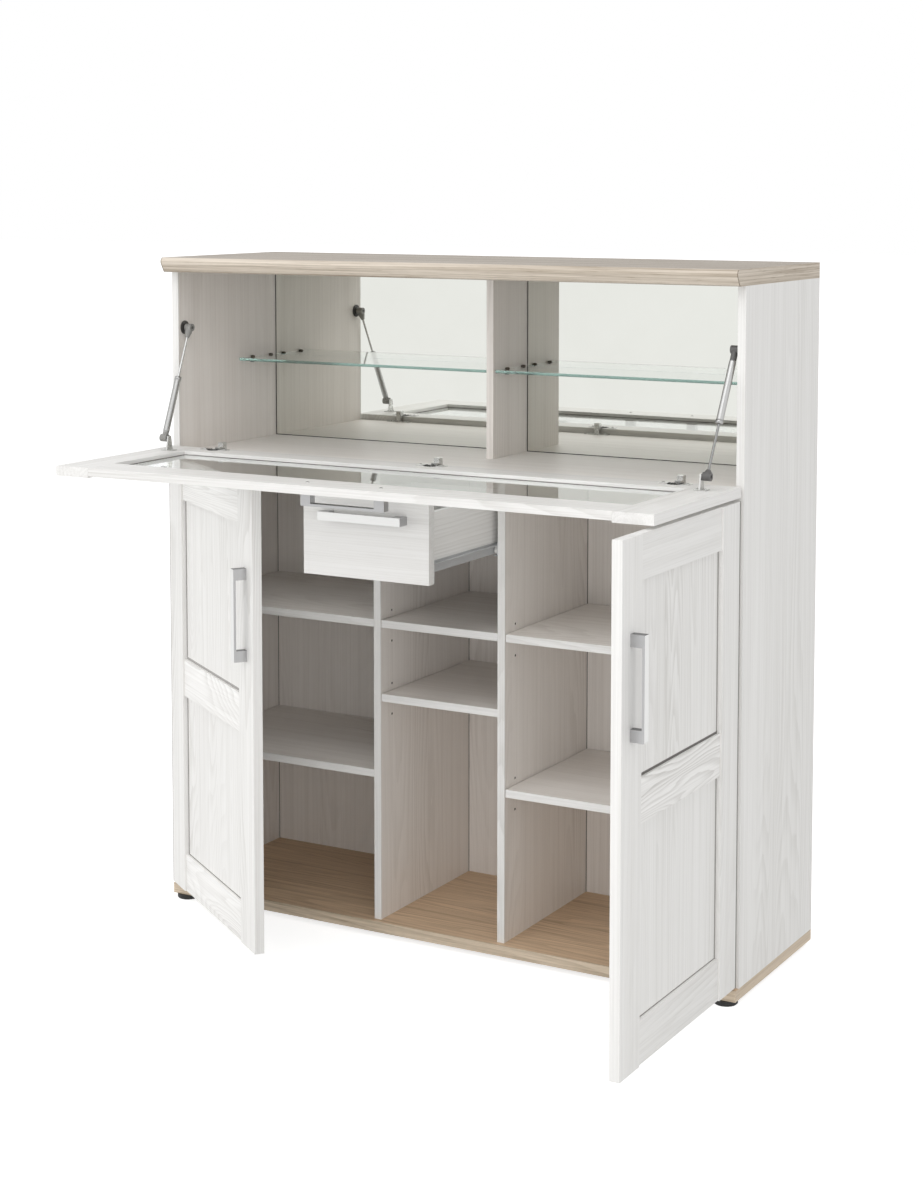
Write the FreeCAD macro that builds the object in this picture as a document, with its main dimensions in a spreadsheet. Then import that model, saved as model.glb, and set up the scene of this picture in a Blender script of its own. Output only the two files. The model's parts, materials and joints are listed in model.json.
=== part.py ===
import FreeCAD, Part
import Sketcher
import math
import os
import re

doc = FreeCAD.newDocument("bar_cabinet")

# Driving sizes in millimetres and degrees
SIZES = {
    # Carcass
    "carc_w": 1310, "carc_d": 384, "panel": 16,
    "foot_rise": 10, "foot_dia": 47, "foot_bevel": 2,
    "foot_side_in": 27, "foot_front_in": 1, "foot_rear_in": 45, "foot_rear_side": 75,
    "base_thick": 22, "base_over": 16, "side_rise": 1327,
    "top_thick": 31, "top_over": 46, "top_low": 28, "nose_round": 9,
    "back_inset": 12, "back_thick": 3, "back_groove": 6, "groove_play": 0.2,
    "bar_rise": 385, "div_x": 144,
    # Bar
    "bar_div_set": 215, "mirror_thick": 4, "mirror_play": 1,
    "glass_rise": 185, "glass_thick": 6, "glass_set": 222, "glass_play": 1.5,
    "glass_pin_front": 46, "glass_pin_rear": 26, "glass_pin_dia": 6,
    # Loose shelves: the upper ones below the bar floor, the middle column's lower one below those
    "shelf_drop": 316, "mid_shelf_drop": 153, "shelf_set": 2, "shelf_play": 1,
    "pin_dia": 5, "pin_sunk": 7, "pin_proud": 8, "pin_play": 0.2,
    "pin_front": 45, "pin_rear": 60, "pin_step": 32,
    # Doors
    "door_gap": 3, "door_thick": 20, "door_reveal": 2, "door_lap": 9.5, "door_clear": 4, "door_drop": 5,
    "frame_w": 80, "mid_rail_rise": 424, "rail_set": 3.2, "panel_recess": 9.8, "panel_thick": 6,
    "tongue": 8, "tongue_play": 1, "edge_round": 2.5, "right_turn_deg": 90, "left_turn_deg": 35,
    # Concealed hinges
    "hinge_end": 100, "hinge_sink": 12.5, "hinge_rim": 5.5,
    "cup_u": 20.5, "cup_dia": 35, "cup_deep": 17.2, "cup_wall": 1,
    "wing_half": 32, "wing_w": 18, "wing_thick": 1.2,
    "hinge_pin_dia": 3, "hinge_play": 0.4, "eye_dia": 6.4, "arm_half": 7, "arm_thick": 3.5,
    "arm_reach": 28, "base_from": 12, "base_to": 56, "base_half": 12,
    "block_half": 6, "block_low": 23.2, "block_high": 35, "block_front": 6, "block_rear": 8,
    "block_clear": 0.5, "plate_half": 30, "plate_rise": 2, "plate_rear": 12,
    # Flap
    "flap_reveal": 4, "flap_lap": 9, "flap_top_gap": 7, "flap_front_rail": 85, "flap_hinge_rail": 68,
    "flap_recess": 8, "pane_thick": 4, "flap_rim": 6, "flap_sink": 12, "flap_turn_deg": 90,
    "flap_hinge_in": 123, "flap_round": 2.5, "flap_handle_in": 42.5,
    # Bow handles
    "handle_len": 184, "handle_leg": 22, "handle_out": 27, "handle_bar": 5, "handle_w": 16,
    "handle_round": 1.5, "door_handle_drop": 254, "drawer_handle_drop": 43,
    # Drawer
    "drawer_gap": 3, "drawer_rise": 162, "drawer_held": 93, "runner_room": 12.5,
    "box_wall": 12, "box_lift": 38, "box_rise": 94, "box_rear_gap": 22,
    "box_bottom": 4, "box_bottom_up": 10, "box_groove": 5,
    # Roller runners
    "run_metal": 1.2, "run_web": 20, "run_lip": 2, "run_seat": 10, "run_rear_gap": 24,
    "wing_gap": 0.8, "lip_gap": 1.3, "rail_rise": 28,
    "roller_dia": 18, "roller_w": 7, "roller_play": 0.3, "roller_bevel": 0.8,
    "axle_dia": 5, "roller_front": 12, "roller_rear": 12,
    # Flap stays
    "stay_top_in": 13, "stay_top_back": 21.2, "stay_top_rise": 265,
    "stay_low_in": 23, "stay_low_out": 82.6, "stay_low_rise": 26,
    "tube_dia": 13.5, "tube_bore": 8, "tube_len": 122.5, "tube_floor": 5, "tube_bevel": 1,
    "rod_dia": 5, "rod_len": 152, "neck_dia": 8, "cap_dia": 12.4, "cap_high": 23, "cap_low": 13,
    "socket_dia": 15, "eye_out": 16, "eye_w": 16, "stud_dia": 6, "stud_proud": 1, "stud_play": 0.3,
    "stud_disc": 29, "stud_disc_thick": 2,
    "ear_thick": 3.5, "ear_gap": 1.8, "ear_foot": 20, "ear_head": 9, "ear_over": 4.5,
    "ear_plate": 2, "ear_plate_w": 26, "ear_pin_gap": 0.5,
}

sheet = doc.addObject("Spreadsheet::Sheet", "dims")
for row, (word, value) in enumerate(SIZES.items(), start=1):
    sheet.set("A%d" % row, word)
    sheet.set("B%d" % row, str(value))
    sheet.setAlias("B%d" % row, word)
doc.recompute()

WORDS = re.compile(r"\b(" + "|".join(SIZES) + r")\b")

# Planes and levels that several pieces share
FRONT = "(-carc_d / 2)"
BACK = "(carc_d / 2)"
REAR = "(carc_d / 2 - back_inset - back_thick)"
SIDE_OUT = "(carc_w / 2)"
SIDE_IN = "(carc_w / 2 - panel)"
LEFT_IN = "(0 - carc_w / 2 + panel)"
BASE_TOP = "(foot_rise + base_thick)"
TOP_UNDER = "(foot_rise + base_thick + side_rise)"
FLOOR_TOP = "(foot_rise + base_thick + side_rise - bar_rise)"
FLOOR_UNDER = "(%s - panel)" % FLOOR_TOP
FACE_IN = "(-carc_d / 2 - door_gap)"
FACE_OUT = "(-carc_d / 2 - door_gap - door_thick)"

# Edges of the doors, the flap and the drawer front
DOOR_OUT = "(carc_w / 2 - door_reveal)"
DOOR_IN = "(div_x + panel / 2 - door_lap)"
DOOR_LOW = "(%s + door_clear)" % BASE_TOP
FLAP_LOW = "(%s - flap_lap)" % FLOOR_TOP
FLAP_HIGH = "(%s - flap_top_gap)" % TOP_UNDER
FLAP_END = "(carc_w / 2 - flap_reveal)"
DOOR_TOP = "(%s - door_drop)" % FLAP_LOW
DRAWER_LOW = "(%s - drawer_rise)" % DOOR_TOP
DRAWER_END = "(%s - drawer_gap)" % DOOR_IN

# Hinge pins: along the leaf from its hinge edge, and in front of the carcass
RIM_U = "cup_u - cup_dia / 2 + cup_wall"
PIN_U = "(%s + hinge_rim)" % RIM_U
PIN_V = "(door_gap + hinge_sink)"
FLAP_PIN_U = "(%s + flap_rim)" % RIM_U
FLAP_PIN_V = "(door_gap + flap_sink)"

SLOT = "(tongue + tongue_play)"
NO_TURN = "rotation(vector(0; 0; 1); 0)"
START_RADIUS = 50
ALONG_X = "rotation(vector(0; 1; 0); 90)"
ALONG_Y = "rotation(vector(1; 0; 0); 0 - 90)"
OUTWARD = "rotation(vector(1; 0; 0); 90)"
UPRIGHT = "rotation(vector(1; 0 - 1; 1); 120)"


def bound(text):
    """Expression text with every size word tied to its cell."""
    return WORDS.sub(r"dims.\1", text)


def spot(x, y, z, turn=NO_TURN):
    return "placement(vector(%s; %s; %s); %s)" % (x, y, z, turn)


def turn_about(x, y, z, axis, angle):
    """Placement that swings a body from its closed place about a pin."""
    swing = spot(x, y, z, "rotation(vector(%s); %s)" % (axis, angle))
    return swing + " * " + spot("0 - " + x, "0 - " + y, "0 - " + z)


def on_side(sign, near, far):
    """Limits in X for the right side, mirrored for the left one."""
    if sign > 0:
        return near, far
    return "0 - (%s)" % far, "0 - (%s)" % near


def at_side(sign, x):
    return x if sign > 0 else "0 - (%s)" % x


# Places of the moving bodies as photographed, each piece being drawn where it is when closed
DOOR_PIN_X = "(%s - %s)" % (DOOR_OUT, PIN_U)
DOOR_PIN_Y = "(%s - %s)" % (FRONT, PIN_V)
RIGHT = turn_about(DOOR_PIN_X, DOOR_PIN_Y, "0", "0; 0; 1", "right_turn_deg")
LEFT = turn_about("(0 - %s)" % DOOR_PIN_X, DOOR_PIN_Y, "0", "0; 0; 1", "0 - left_turn_deg")
FLAP = turn_about("0", "(%s - %s)" % (FRONT, FLAP_PIN_V), "(%s + %s)" % (FLAP_LOW, FLAP_PIN_U),
                  "1; 0; 0", "flap_turn_deg")
RUN_LEN = "(carc_d - back_inset - back_thick - run_rear_gap)"
DRAWER = spot("0", "0 - (%s - drawer_held)" % RUN_LEN, "0")


def place(piece, where, frame=None):
    piece.setExpression("Placement", bound(frame + " * " + where if frame else where))
    return piece


def box(name, x, y, z, frame=None):
    """Board between three pairs of limits."""
    board = doc.addObject("Part::Box", name)
    for prop, (low, high) in (("Length", x), ("Width", y), ("Height", z)):
        board.setExpression(prop, bound("(%s) - (%s)" % (high, low)))
    return place(board, spot(x[0], y[0], z[0]), frame)


def rod(name, dia, length, where, frame=None):
    """Round bar along its own Z axis."""
    bar = doc.addObject("Part::Cylinder", name)
    bar.setExpression("Radius", bound("(%s) / 2" % dia))
    bar.setExpression("Height", bound(length))
    return place(bar, where, frame)


def group(name, pieces):
    cluster = doc.addObject("Part::Compound", name)
    cluster.Links = pieces
    return cluster


def cut(name, base, tools):
    result = doc.addObject("Part::Cut", name)
    result.Base = base
    result.Tool = tools[0] if len(tools) == 1 else group(name + "_tools", tools)
    return result


def fuse(name, pieces):
    result = doc.addObject("Part::MultiFuse", name)
    result.Shapes = pieces
    return result


def outline(body, plane, points):
    """Closed sketch on an origin plane with each corner tied to its two distances."""
    sketch = body.newObject("Sketcher::SketchObject", body.Name + "_sketch")
    flat = [item for item in body.Origin.OriginFeatures if item.Role == plane][0]
    sketch.AttachmentSupport = (flat, [""])
    sketch.MapMode = "FlatFace"
    count = len(points)
    ring = []
    for step in range(count):
        angle = 2 * math.pi * step / count
        ring.append(FreeCAD.Vector(math.cos(angle), math.sin(angle), 0) * START_RADIUS)
    for step in range(count):
        sketch.addGeometry(Part.LineSegment(ring[step], ring[(step + 1) % count]), False)
    for step in range(count):
        sketch.addConstraint(Sketcher.Constraint("Coincident", step, 2, (step + 1) % count, 1))
    for step, (across, along) in enumerate(points):
        for kind, text in (("DistanceX", across), ("DistanceY", along)):
            index = sketch.addConstraint(Sketcher.Constraint(kind, -1, 1, step, 1, 1.0))
            sketch.setExpression("Constraints[%d]" % index, bound(text))
    return sketch


def pad(name, plane, points, length, where=None, frame=None, middle=True):
    """Profile drawn on an origin plane and padded square to it."""
    body = doc.addObject("PartDesign::Body", name)
    feature_sketch = outline(body, plane, points)
    feature = body.newObject("PartDesign::Pad", name + "_pad")
    feature.Profile = feature_sketch
    if middle:
        feature.SideType = "Symmetric"
    feature.setExpression("Length", bound(length))
    if where or frame:
        place(body, where or spot("0", "0", "0"), frame)
    doc.recompute()
    return body


def revolve(name, points, where, frame=None):
    """Profile of radius and height turned about the Z axis."""
    body = doc.addObject("PartDesign::Body", name)
    feature_sketch = outline(body, "XZ_Plane", points)
    feature = body.newObject("PartDesign::Revolution", name + "_turned")
    feature.Profile = feature_sketch
    feature.ReferenceAxis = (feature_sketch, ["V_Axis"])
    feature.Angle = 360
    place(body, where, frame)
    doc.recompute()
    return body


def round_edges(body, radius, pick):
    """Rounds the edges whose middle point the picking rule accepts."""
    tip = body.Tip
    names = []
    for index, edge in enumerate(tip.Shape.Edges, start=1):
        if pick(edge.CenterOfMass, tip.Shape.BoundBox):
            names.append("Edge%d" % index)
    feature = body.newObject("PartDesign::Fillet", body.Name + "_round")
    feature.Base = (tip, names)
    feature.setExpression("Radius", bound(radius))
    doc.recompute()
    return body


NODES = {}


def node(name, piece):
    piece.Label = name
    NODES[name] = piece
    return piece


# Top board with its rounded nose and slanting lower edge
def nose_edge(p, b):
    return p.y < b.YMin + 0.5 and p.z > b.ZMax - 0.5


top = pad("top_profile", "YZ_Plane", [
    (BACK, TOP_UNDER),
    (BACK, TOP_UNDER + " + top_thick"),
    (FRONT + " - top_over", TOP_UNDER + " + top_thick"),
    (FRONT + " - top_low", TOP_UNDER),
], "carc_w")
node("top_board", round_edges(top, "nose_round", nose_edge))

node("base_board", box("base_box", ("-carc_w / 2", SIDE_OUT), (FRONT + " - base_over", BACK),
                       ("foot_rise", BASE_TOP)))

# Round glides under the corners and the middle of the base
FOOT_SPOTS = {
    "front_left": ("-carc_w / 2 + foot_side_in", FRONT + " + foot_front_in"),
    "front_right": ("carc_w / 2 - foot_side_in", FRONT + " + foot_front_in"),
    "rear_left": ("-carc_w / 2 + foot_rear_side", BACK + " - foot_rear_in"),
    "rear_right": ("carc_w / 2 - foot_rear_side", BACK + " - foot_rear_in"),
    "centre": ("0", "0"),
}
feet = []
for corner, (x, y) in FOOT_SPOTS.items():
    feet.append(revolve("foot_" + corner, [
        ("0", "0"),
        ("foot_dia / 2 - foot_bevel", "0"),
        ("foot_dia / 2", "foot_bevel"),
        ("foot_dia / 2", "foot_rise"),
        ("0", "foot_rise"),
    ], spot(x, y, "0")))
node("feet", group("feet_group", feet))

# Shelf columns: the two faces that carry the pins, the boards behind them and the shelf levels
SHELF_HIGH = "(%s - shelf_drop)" % FLOOR_TOP
SIDE_LEVELS = {"high": SHELF_HIGH, "low": "(%s / 2 + %s / 2)" % (BASE_TOP, SHELF_HIGH)}
MIDDLE_LEVELS = {"high": SHELF_HIGH, "low": "(%s - mid_shelf_drop)" % SHELF_HIGH}
COLUMNS = {
    "left": (LEFT_IN, "(0 - div_x - panel / 2)", ("side_left", "divider_left"), SIDE_LEVELS),
    "middle": ("(0 - div_x + panel / 2)", "(div_x - panel / 2)", ("divider_left", "divider_right"),
               MIDDLE_LEVELS),
    "right": ("(div_x + panel / 2)", SIDE_IN, ("divider_right", "side_right"), SIDE_LEVELS),
}
PIN_DEPTHS = {"front": FRONT + " + pin_front", "rear": REAR + " - pin_rear"}
PIN_RISES = {"front": ("0", "pin_step", "0 - pin_step"), "rear": ("0",)}
holes = {"side_left": [], "side_right": [], "divider_left": [], "divider_right": [], "bar_divider": []}


def pin_pair(tag, limits, walls, dia, y, z, rises):
    """A pin at each end of a shelf, and the holes bored for them."""
    pair = []
    starts = (limits[0] + " - pin_sunk", limits[1] + " - pin_proud")
    mouths = (limits[0] + " - pin_sunk", limits[1])
    for end, wall in enumerate(walls):
        name = "%s_%d" % (tag, end)
        pair.append(rod("pin_" + name, dia, "pin_sunk + pin_proud", spot(starts[end], y, z, ALONG_X)))
        for order, rise in enumerate(rises):
            holes[wall].append(rod("hole_%s_%d" % (name, order), dia + " + pin_play", "pin_sunk",
                                   spot(mouths[end], y, z + " + " + rise, ALONG_X)))
    return pair


pins = []
for column, (x_low, x_high, walls, levels) in COLUMNS.items():
    boards = []
    for level, shelf_top in levels.items():
        tag = column + "_" + level
        boards.append(box("board_" + tag, (x_low + " + shelf_play", x_high + " - shelf_play"),
                          (FRONT + " + shelf_set", REAR + " - shelf_play"),
                          (shelf_top + " - panel", shelf_top)))
        for depth, y in PIN_DEPTHS.items():
            pins += pin_pair(tag + "_" + depth, (x_low, x_high), walls, "pin_dia", y,
                             shelf_top + " - panel - pin_dia / 2", PIN_RISES[depth])
    node(column + "_shelves", group("shelves_" + column, boards))
node("shelf_pins", group("pins_group", pins))

# Bar bays: mirror at the back, glass shelf on two pins at each end
BAYS = {
    "left": (LEFT_IN, "(0 - panel / 2)", ("side_left", "bar_divider")),
    "right": ("(panel / 2)", SIDE_IN, ("bar_divider", "side_right")),
}
MIRROR_FRONT = REAR + " - mirror_thick"
GLASS_TOP = FLOOR_TOP + " + glass_rise"
GLASS_PIN_DEPTHS = {"front": FRONT + " + glass_set + glass_pin_front",
                    "rear": MIRROR_FRONT + " - glass_pin_rear"}
glass_pins, panes, mirrors = [], [], []
for bay, (x_low, x_high, walls) in BAYS.items():
    panes.append(box("pane_" + bay, (x_low + " + glass_play", x_high + " - glass_play"),
                     (FRONT + " + glass_set", MIRROR_FRONT + " - mirror_play"),
                     (GLASS_TOP + " - glass_thick", GLASS_TOP)))
    mirrors.append(box("mirror_" + bay, (x_low + " + mirror_play", x_high + " - mirror_play"),
                       (MIRROR_FRONT, REAR), (FLOOR_TOP, TOP_UNDER + " - mirror_play")))
    for depth, y in GLASS_PIN_DEPTHS.items():
        glass_pins += pin_pair("glass_%s_%s" % (bay, depth), (x_low, x_high), walls, "glass_pin_dia", y,
                               GLASS_TOP + " - glass_thick - glass_pin_dia / 2", ("0",))
node("glass_shelves", group("glass_group", panes))
node("mirrors", group("mirror_group", mirrors))
node("glass_shelf_pins", group("glass_pin_group", glass_pins))

# Side panels with the groove for the back panel
for side, sign in (("left", -1), ("right", 1)):
    board = box("side_%s_board" % side, on_side(sign, SIDE_IN, SIDE_OUT), (FRONT, BACK),
                (BASE_TOP, TOP_UNDER))
    groove = box("side_%s_groove" % side, on_side(sign, SIDE_IN, SIDE_IN + " + back_groove"),
                 (REAR + " - groove_play", REAR + " + back_thick + groove_play"), (BASE_TOP, TOP_UNDER))
    node("side_" + side, cut("side_%s_cut" % side, board, [groove] + holes["side_" + side]))

BACK_END = "(%s + back_groove - groove_play)" % SIDE_IN
node("back_panel", box("back_box", ("0 - " + BACK_END, BACK_END), (REAR, REAR + " + back_thick"),
                       (BASE_TOP, TOP_UNDER)))
node("bar_floor", box("floor_box", (LEFT_IN, SIDE_IN), (FRONT, REAR), (FLOOR_UNDER, FLOOR_TOP)))
bar_board = box("bar_div_board", ("-panel / 2", "panel / 2"), (FRONT + " + bar_div_set", REAR),
                (FLOOR_TOP, TOP_UNDER))
node("bar_divider", cut("bar_div_cut", bar_board, holes["bar_divider"]))
for side, sign in (("left", -1), ("right", 1)):
    board = box("divider_%s_board" % side, on_side(sign, "div_x - panel / 2", "div_x + panel / 2"),
                (FRONT, REAR), (BASE_TOP, FLOOR_UNDER))
    node("divider_" + side, cut("divider_%s_cut" % side, board, holes["divider_" + side]))


# Bow handle drawn flat: its outer face at handle_out, its two square legs on the surface
def bow_ends(p, b):
    return abs(abs(p.x) - b.XMax) < 0.5 and p.z > b.ZMax - 0.5


def handle(name, where, frame):
    half = "handle_len / 2"
    inner = "(handle_len / 2 - handle_leg)"
    body = pad(name + "_bow", "XZ_Plane", [
        ("0 - " + half, "handle_out"),
        ("0 - " + half, "0"),
        ("0 - " + inner, "0"),
        ("0 - " + inner, "handle_out - handle_bar"),
        (inner, "handle_out - handle_bar"),
        (inner, "0"),
        (half, "0"),
        (half, "handle_out"),
    ], "handle_w", where, frame)
    return node(name, round_edges(body, "handle_round", bow_ends))


# Concealed hinge: X runs along the leaf from its hinge edge, Y into the cabinet, the pin along Z
CUP_SPOT = spot("cup_u", "0 - door_gap - cup_deep", "0", ALONG_Y)


def hinge_cup(name, leaf, pin_u, pin_v):
    """Pressed cup with its wings and the pin across it."""
    shell = rod(name + "_shell", "cup_dia", "cup_deep", CUP_SPOT, leaf)
    wing = box(name + "_wing", ("cup_u - wing_w / 2", "cup_u + wing_w / 2"),
               ("0 - door_gap", "0 - door_gap + wing_thick"), ("0 - wing_half", "wing_half"), leaf)
    hollow = rod(name + "_hollow", "cup_dia - 2 * cup_wall", "cup_deep - cup_wall + wing_thick",
                 spot("cup_u", "0 - door_gap - cup_deep + cup_wall", "0", ALONG_Y), leaf)
    bowl = cut(name + "_bowl", fuse(name + "_body", [shell, wing]), [hollow])
    pin_side = "(cup_u - %s + hinge_pin_dia / 2)" % pin_u
    pin_half = "sqrt(pow(cup_dia / 2 - cup_wall / 2; 2) - pow(%s; 2))" % pin_side
    pin = rod(name + "_pin", "hinge_pin_dia", "2 * " + pin_half,
              spot(pin_u, "0 - " + pin_v, "0 - " + pin_half), leaf)
    return fuse(name + "_cup", [bowl, pin])


def hinge_arm(name, where, pin_u, pin_v, seat_u):
    """Cranked arm from the pin round the leaf's edge to its base on the carcass."""
    wide = ("0 - arm_half", "arm_half")
    thick = ("0 - %s - arm_thick / 2" % pin_v, "0 - %s + arm_thick / 2" % pin_v)
    pin_spot = spot(pin_u, "0 - " + pin_v, "0 - arm_half")
    eye = rod(name + "_eye", "eye_dia", "2 * arm_half", pin_spot, where)
    reach = box(name + "_reach", (pin_u, "arm_reach"), thick, wide, where)
    stem = box(name + "_stem", ("arm_reach - arm_thick", "arm_reach"), (thick[0], "base_to"), wide, where)
    seat = box(name + "_seat", (seat_u, "arm_reach - arm_thick"), ("base_from", "base_to"),
               ("0 - base_half", "base_half"), where)
    solid = fuse(name + "_arm_body", [eye, reach, stem, seat])
    hole = rod(name + "_eye_hole", "hinge_pin_dia + hinge_play", "2 * arm_half", pin_spot, where)
    return cut(name + "_arm", solid, [hole])


def flap_arm(name, where, pin_u, pin_v):
    """Short arm from the pin over the flap's edge to a block with two wings on the bar floor."""
    wide = ("0 - block_half", "block_half")
    thick = ("0 - %s - arm_thick / 2" % pin_v, "0 - %s + arm_thick / 2" % pin_v)
    pin_spot = spot(pin_u, "0 - " + pin_v, "0 - block_half")
    eye = rod(name + "_eye", "eye_dia", "2 * block_half", pin_spot, where)
    reach = box(name + "_reach", (pin_u, "block_low + arm_thick"), thick, wide, where)
    stem = box(name + "_stem", ("block_low", "block_low + arm_thick"), (thick[0], "block_rear"), wide, where)
    head = box(name + "_head", ("block_low", "block_high"), ("0 - block_front", "block_rear"), wide, where)
    foot = box(name + "_foot", ("flap_lap", "block_high"), ("block_clear", "block_rear"), wide, where)
    wings = box(name + "_wings", ("flap_lap", "flap_lap + plate_rise"), ("block_clear", "plate_rear"),
                ("0 - plate_half", "plate_half"), where)
    solid = fuse(name + "_arm_body", [eye, reach, stem, head, foot, wings])
    hole = rod(name + "_eye_hole", "hinge_pin_dia + hinge_play", "2 * block_half", pin_spot, where)
    return cut(name + "_arm", solid, [hole])


def hinge_moving(name, leaf, pin_u, pin_v):
    """Returns the moving cup and the bore that it needs in its leaf."""
    return hinge_cup(name, leaf, pin_u, pin_v), rod(name + "_bore", "cup_dia", "cup_deep", CUP_SPOT, leaf)


# Doors: frame of stiles and slightly thinner rails, with two panels held in grooves
LEAF_Y = (FACE_OUT, FACE_IN)
SET_FACE = "(%s + rail_set)" % FACE_OUT
RAIL_Y = (SET_FACE, FACE_IN)
PANEL_Y = ("(%s + panel_recess)" % FACE_OUT, "(%s + panel_recess + panel_thick)" % FACE_OUT)
GROOVE_Y = (PANEL_Y[0] + " - groove_play", PANEL_Y[1] + " + groove_play")
MID_LOW = "(%s + mid_rail_rise)" % DOOR_LOW
MID_HIGH = "(%s + mid_rail_rise + frame_w)" % DOOR_LOW
BOTTOM_HIGH = "(%s + frame_w)" % DOOR_LOW
TOP_LOW = "(%s - frame_w)" % DOOR_TOP
FIELDS = {"lower": (BOTTOM_HIGH, MID_LOW), "upper": (MID_HIGH, TOP_LOW)}
RAILS = {
    "bottom": (DOOR_LOW, BOTTOM_HIGH, ("up",)),
    "middle": (MID_LOW, MID_HIGH, ("up", "down")),
    "top": (TOP_LOW, DOOR_TOP, ("down",)),
}
HINGE_LEVELS = {"low": DOOR_LOW + " + hinge_end", "mid": "(%s + %s) / 2" % (DOOR_LOW, DOOR_TOP),
                "high": DOOR_TOP + " - hinge_end"}
STILE_IN = "(%s + frame_w)" % DOOR_IN
STILE_OUT = "(%s - frame_w)" % DOOR_OUT


def door_hinges(name, frame, sign):
    """Cups of one door as a node; returns the arms and the bores."""
    turn = "rotation(vector(0; 1; 0); 180)" if sign > 0 else NO_TURN
    cups, arms, bores = [], [], []
    for level, z in HINGE_LEVELS.items():
        where = spot(at_side(sign, DOOR_OUT), FRONT, z, turn)
        label = "%s_hinge_%s" % (name, level)
        cup, bore = hinge_moving(label, frame + " * " + where, PIN_U, PIN_V)
        cups.append(cup)
        bores.append(bore)
        arms.append(hinge_arm(label, where, PIN_U, PIN_V, "(panel - door_reveal)"))
    node(name + "_hinge_cups", group(name + "_cup_group", cups))
    return arms, bores


def door_stiles(name, frame, sign, bores):
    hinge_slots, handle_slots = [], []
    for field, (low, high) in FIELDS.items():
        tall = (low + " - " + SLOT, high + " + " + SLOT)
        hinge_slots.append(box("%s_slot_a_%s" % (name, field),
                               on_side(sign, STILE_OUT, STILE_OUT + " + " + SLOT), GROOVE_Y, tall, frame))
        handle_slots.append(box("%s_slot_b_%s" % (name, field),
                                on_side(sign, STILE_IN + " - " + SLOT, STILE_IN), GROOVE_Y, tall, frame))

    def hinge_edge(p, b):
        outer = b.XMax if sign > 0 else b.XMin
        return p.y > b.YMax - 0.1 and abs(p.x - outer) < 0.1

    x_low, x_high = on_side(sign, STILE_OUT, DOOR_OUT)
    stile = pad(name + "_hinge_blank", "XY_Plane", [
        (x_low, FACE_OUT), (x_high, FACE_OUT), (x_high, FACE_IN), (x_low, FACE_IN),
    ], DOOR_TOP + " - " + DOOR_LOW, spot("0", "0", DOOR_LOW), frame, middle=False)
    round_edges(stile, "edge_round", hinge_edge)
    node(name + "_hinge_stile", cut(name + "_hinge_stile_cut", stile, hinge_slots + bores))
    plain = box(name + "_handle_blank", on_side(sign, DOOR_IN, STILE_IN), LEAF_Y, (DOOR_LOW, DOOR_TOP),
                frame)
    node(name + "_handle_stile", cut(name + "_handle_stile_cut", plain, handle_slots))


def door_rails(name, frame, sign):
    wide = on_side(sign, STILE_IN, STILE_OUT)
    for rail, (low, high, grooves) in RAILS.items():
        blank = box("%s_%s_blank" % (name, rail), wide, RAIL_Y, (low, high), frame)
        limits = {"up": (high + " - " + SLOT, high), "down": (low, low + " + " + SLOT)}
        slots = [box("%s_%s_slot_%s" % (name, rail, way), wide, GROOVE_Y, limits[way], frame)
                 for way in grooves]
        node("%s_%s_rail" % (name, rail), cut("%s_%s_rail_cut" % (name, rail), blank, slots))


def door(side, frame, sign):
    """One whole door; returns the hinge arms that stand on the side panel."""
    name = side + "_door"
    arms, bores = door_hinges(name, frame, sign)
    fields = []
    for field, (low, high) in FIELDS.items():
        fields.append(box("%s_field_%s" % (name, field),
                          on_side(sign, STILE_IN + " - tongue", STILE_OUT + " + tongue"), PANEL_Y,
                          (low + " - tongue", high + " + tongue"), frame))
    node(name + "_panels", group(name + "_panel_group", fields))
    door_stiles(name, frame, sign, bores)
    door_rails(name, frame, sign)
    middle_x = at_side(sign, "(%s + frame_w / 2)" % DOOR_IN)
    handle(name + "_handle", spot(middle_x, FACE_OUT, DOOR_TOP + " - door_handle_drop", UPRIGHT), frame)
    return arms


door_arms = door("right", RIGHT, 1) + door("left", LEFT, -1)
node("door_hinge_arms", group("door_arm_group", door_arms))

# Flap: frame round one pane, drawn shut and swung down about its pins
RAIL_IN = "(%s + flap_hinge_rail)" % FLAP_LOW
RAIL_OUT = "(%s - flap_front_rail)" % FLAP_HIGH
FIELD_END = "(%s - frame_w)" % FLAP_END
FIELD_X = ("0 - " + FIELD_END, FIELD_END)
PANE_Y = ("(%s - flap_recess - pane_thick)" % FACE_IN, "(%s - flap_recess)" % FACE_IN)
PANE_SLOT_Y = (PANE_Y[0] + " - groove_play", PANE_Y[1] + " + groove_play")
FLAP_HINGE_X = "(%s - flap_hinge_in)" % FLAP_END
FLAP_HINGES = {"left": "0 - " + FLAP_HINGE_X, "centre": "0", "right": FLAP_HINGE_X}


def hinge_corner(p, b):
    return p.y > b.YMax - 0.1 and p.z < b.ZMin + 0.1


flap_cups, flap_arms, flap_bores = [], [], []
for hinge_name, x in FLAP_HINGES.items():
    where = spot(x, FRONT, FLAP_LOW, "rotation(vector(0; 1; 0); 0 - 90)")
    cup, bore = hinge_moving("flap_hinge_" + hinge_name, FLAP + " * " + where, FLAP_PIN_U, FLAP_PIN_V)
    flap_cups.append(cup)
    flap_bores.append(bore)
    flap_arms.append(flap_arm("flap_hinge_" + hinge_name, where, FLAP_PIN_U, FLAP_PIN_V))
node("flap_hinge_cups", group("flap_cup_group", flap_cups))
node("flap_hinge_arms", group("flap_arm_group", flap_arms))

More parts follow.
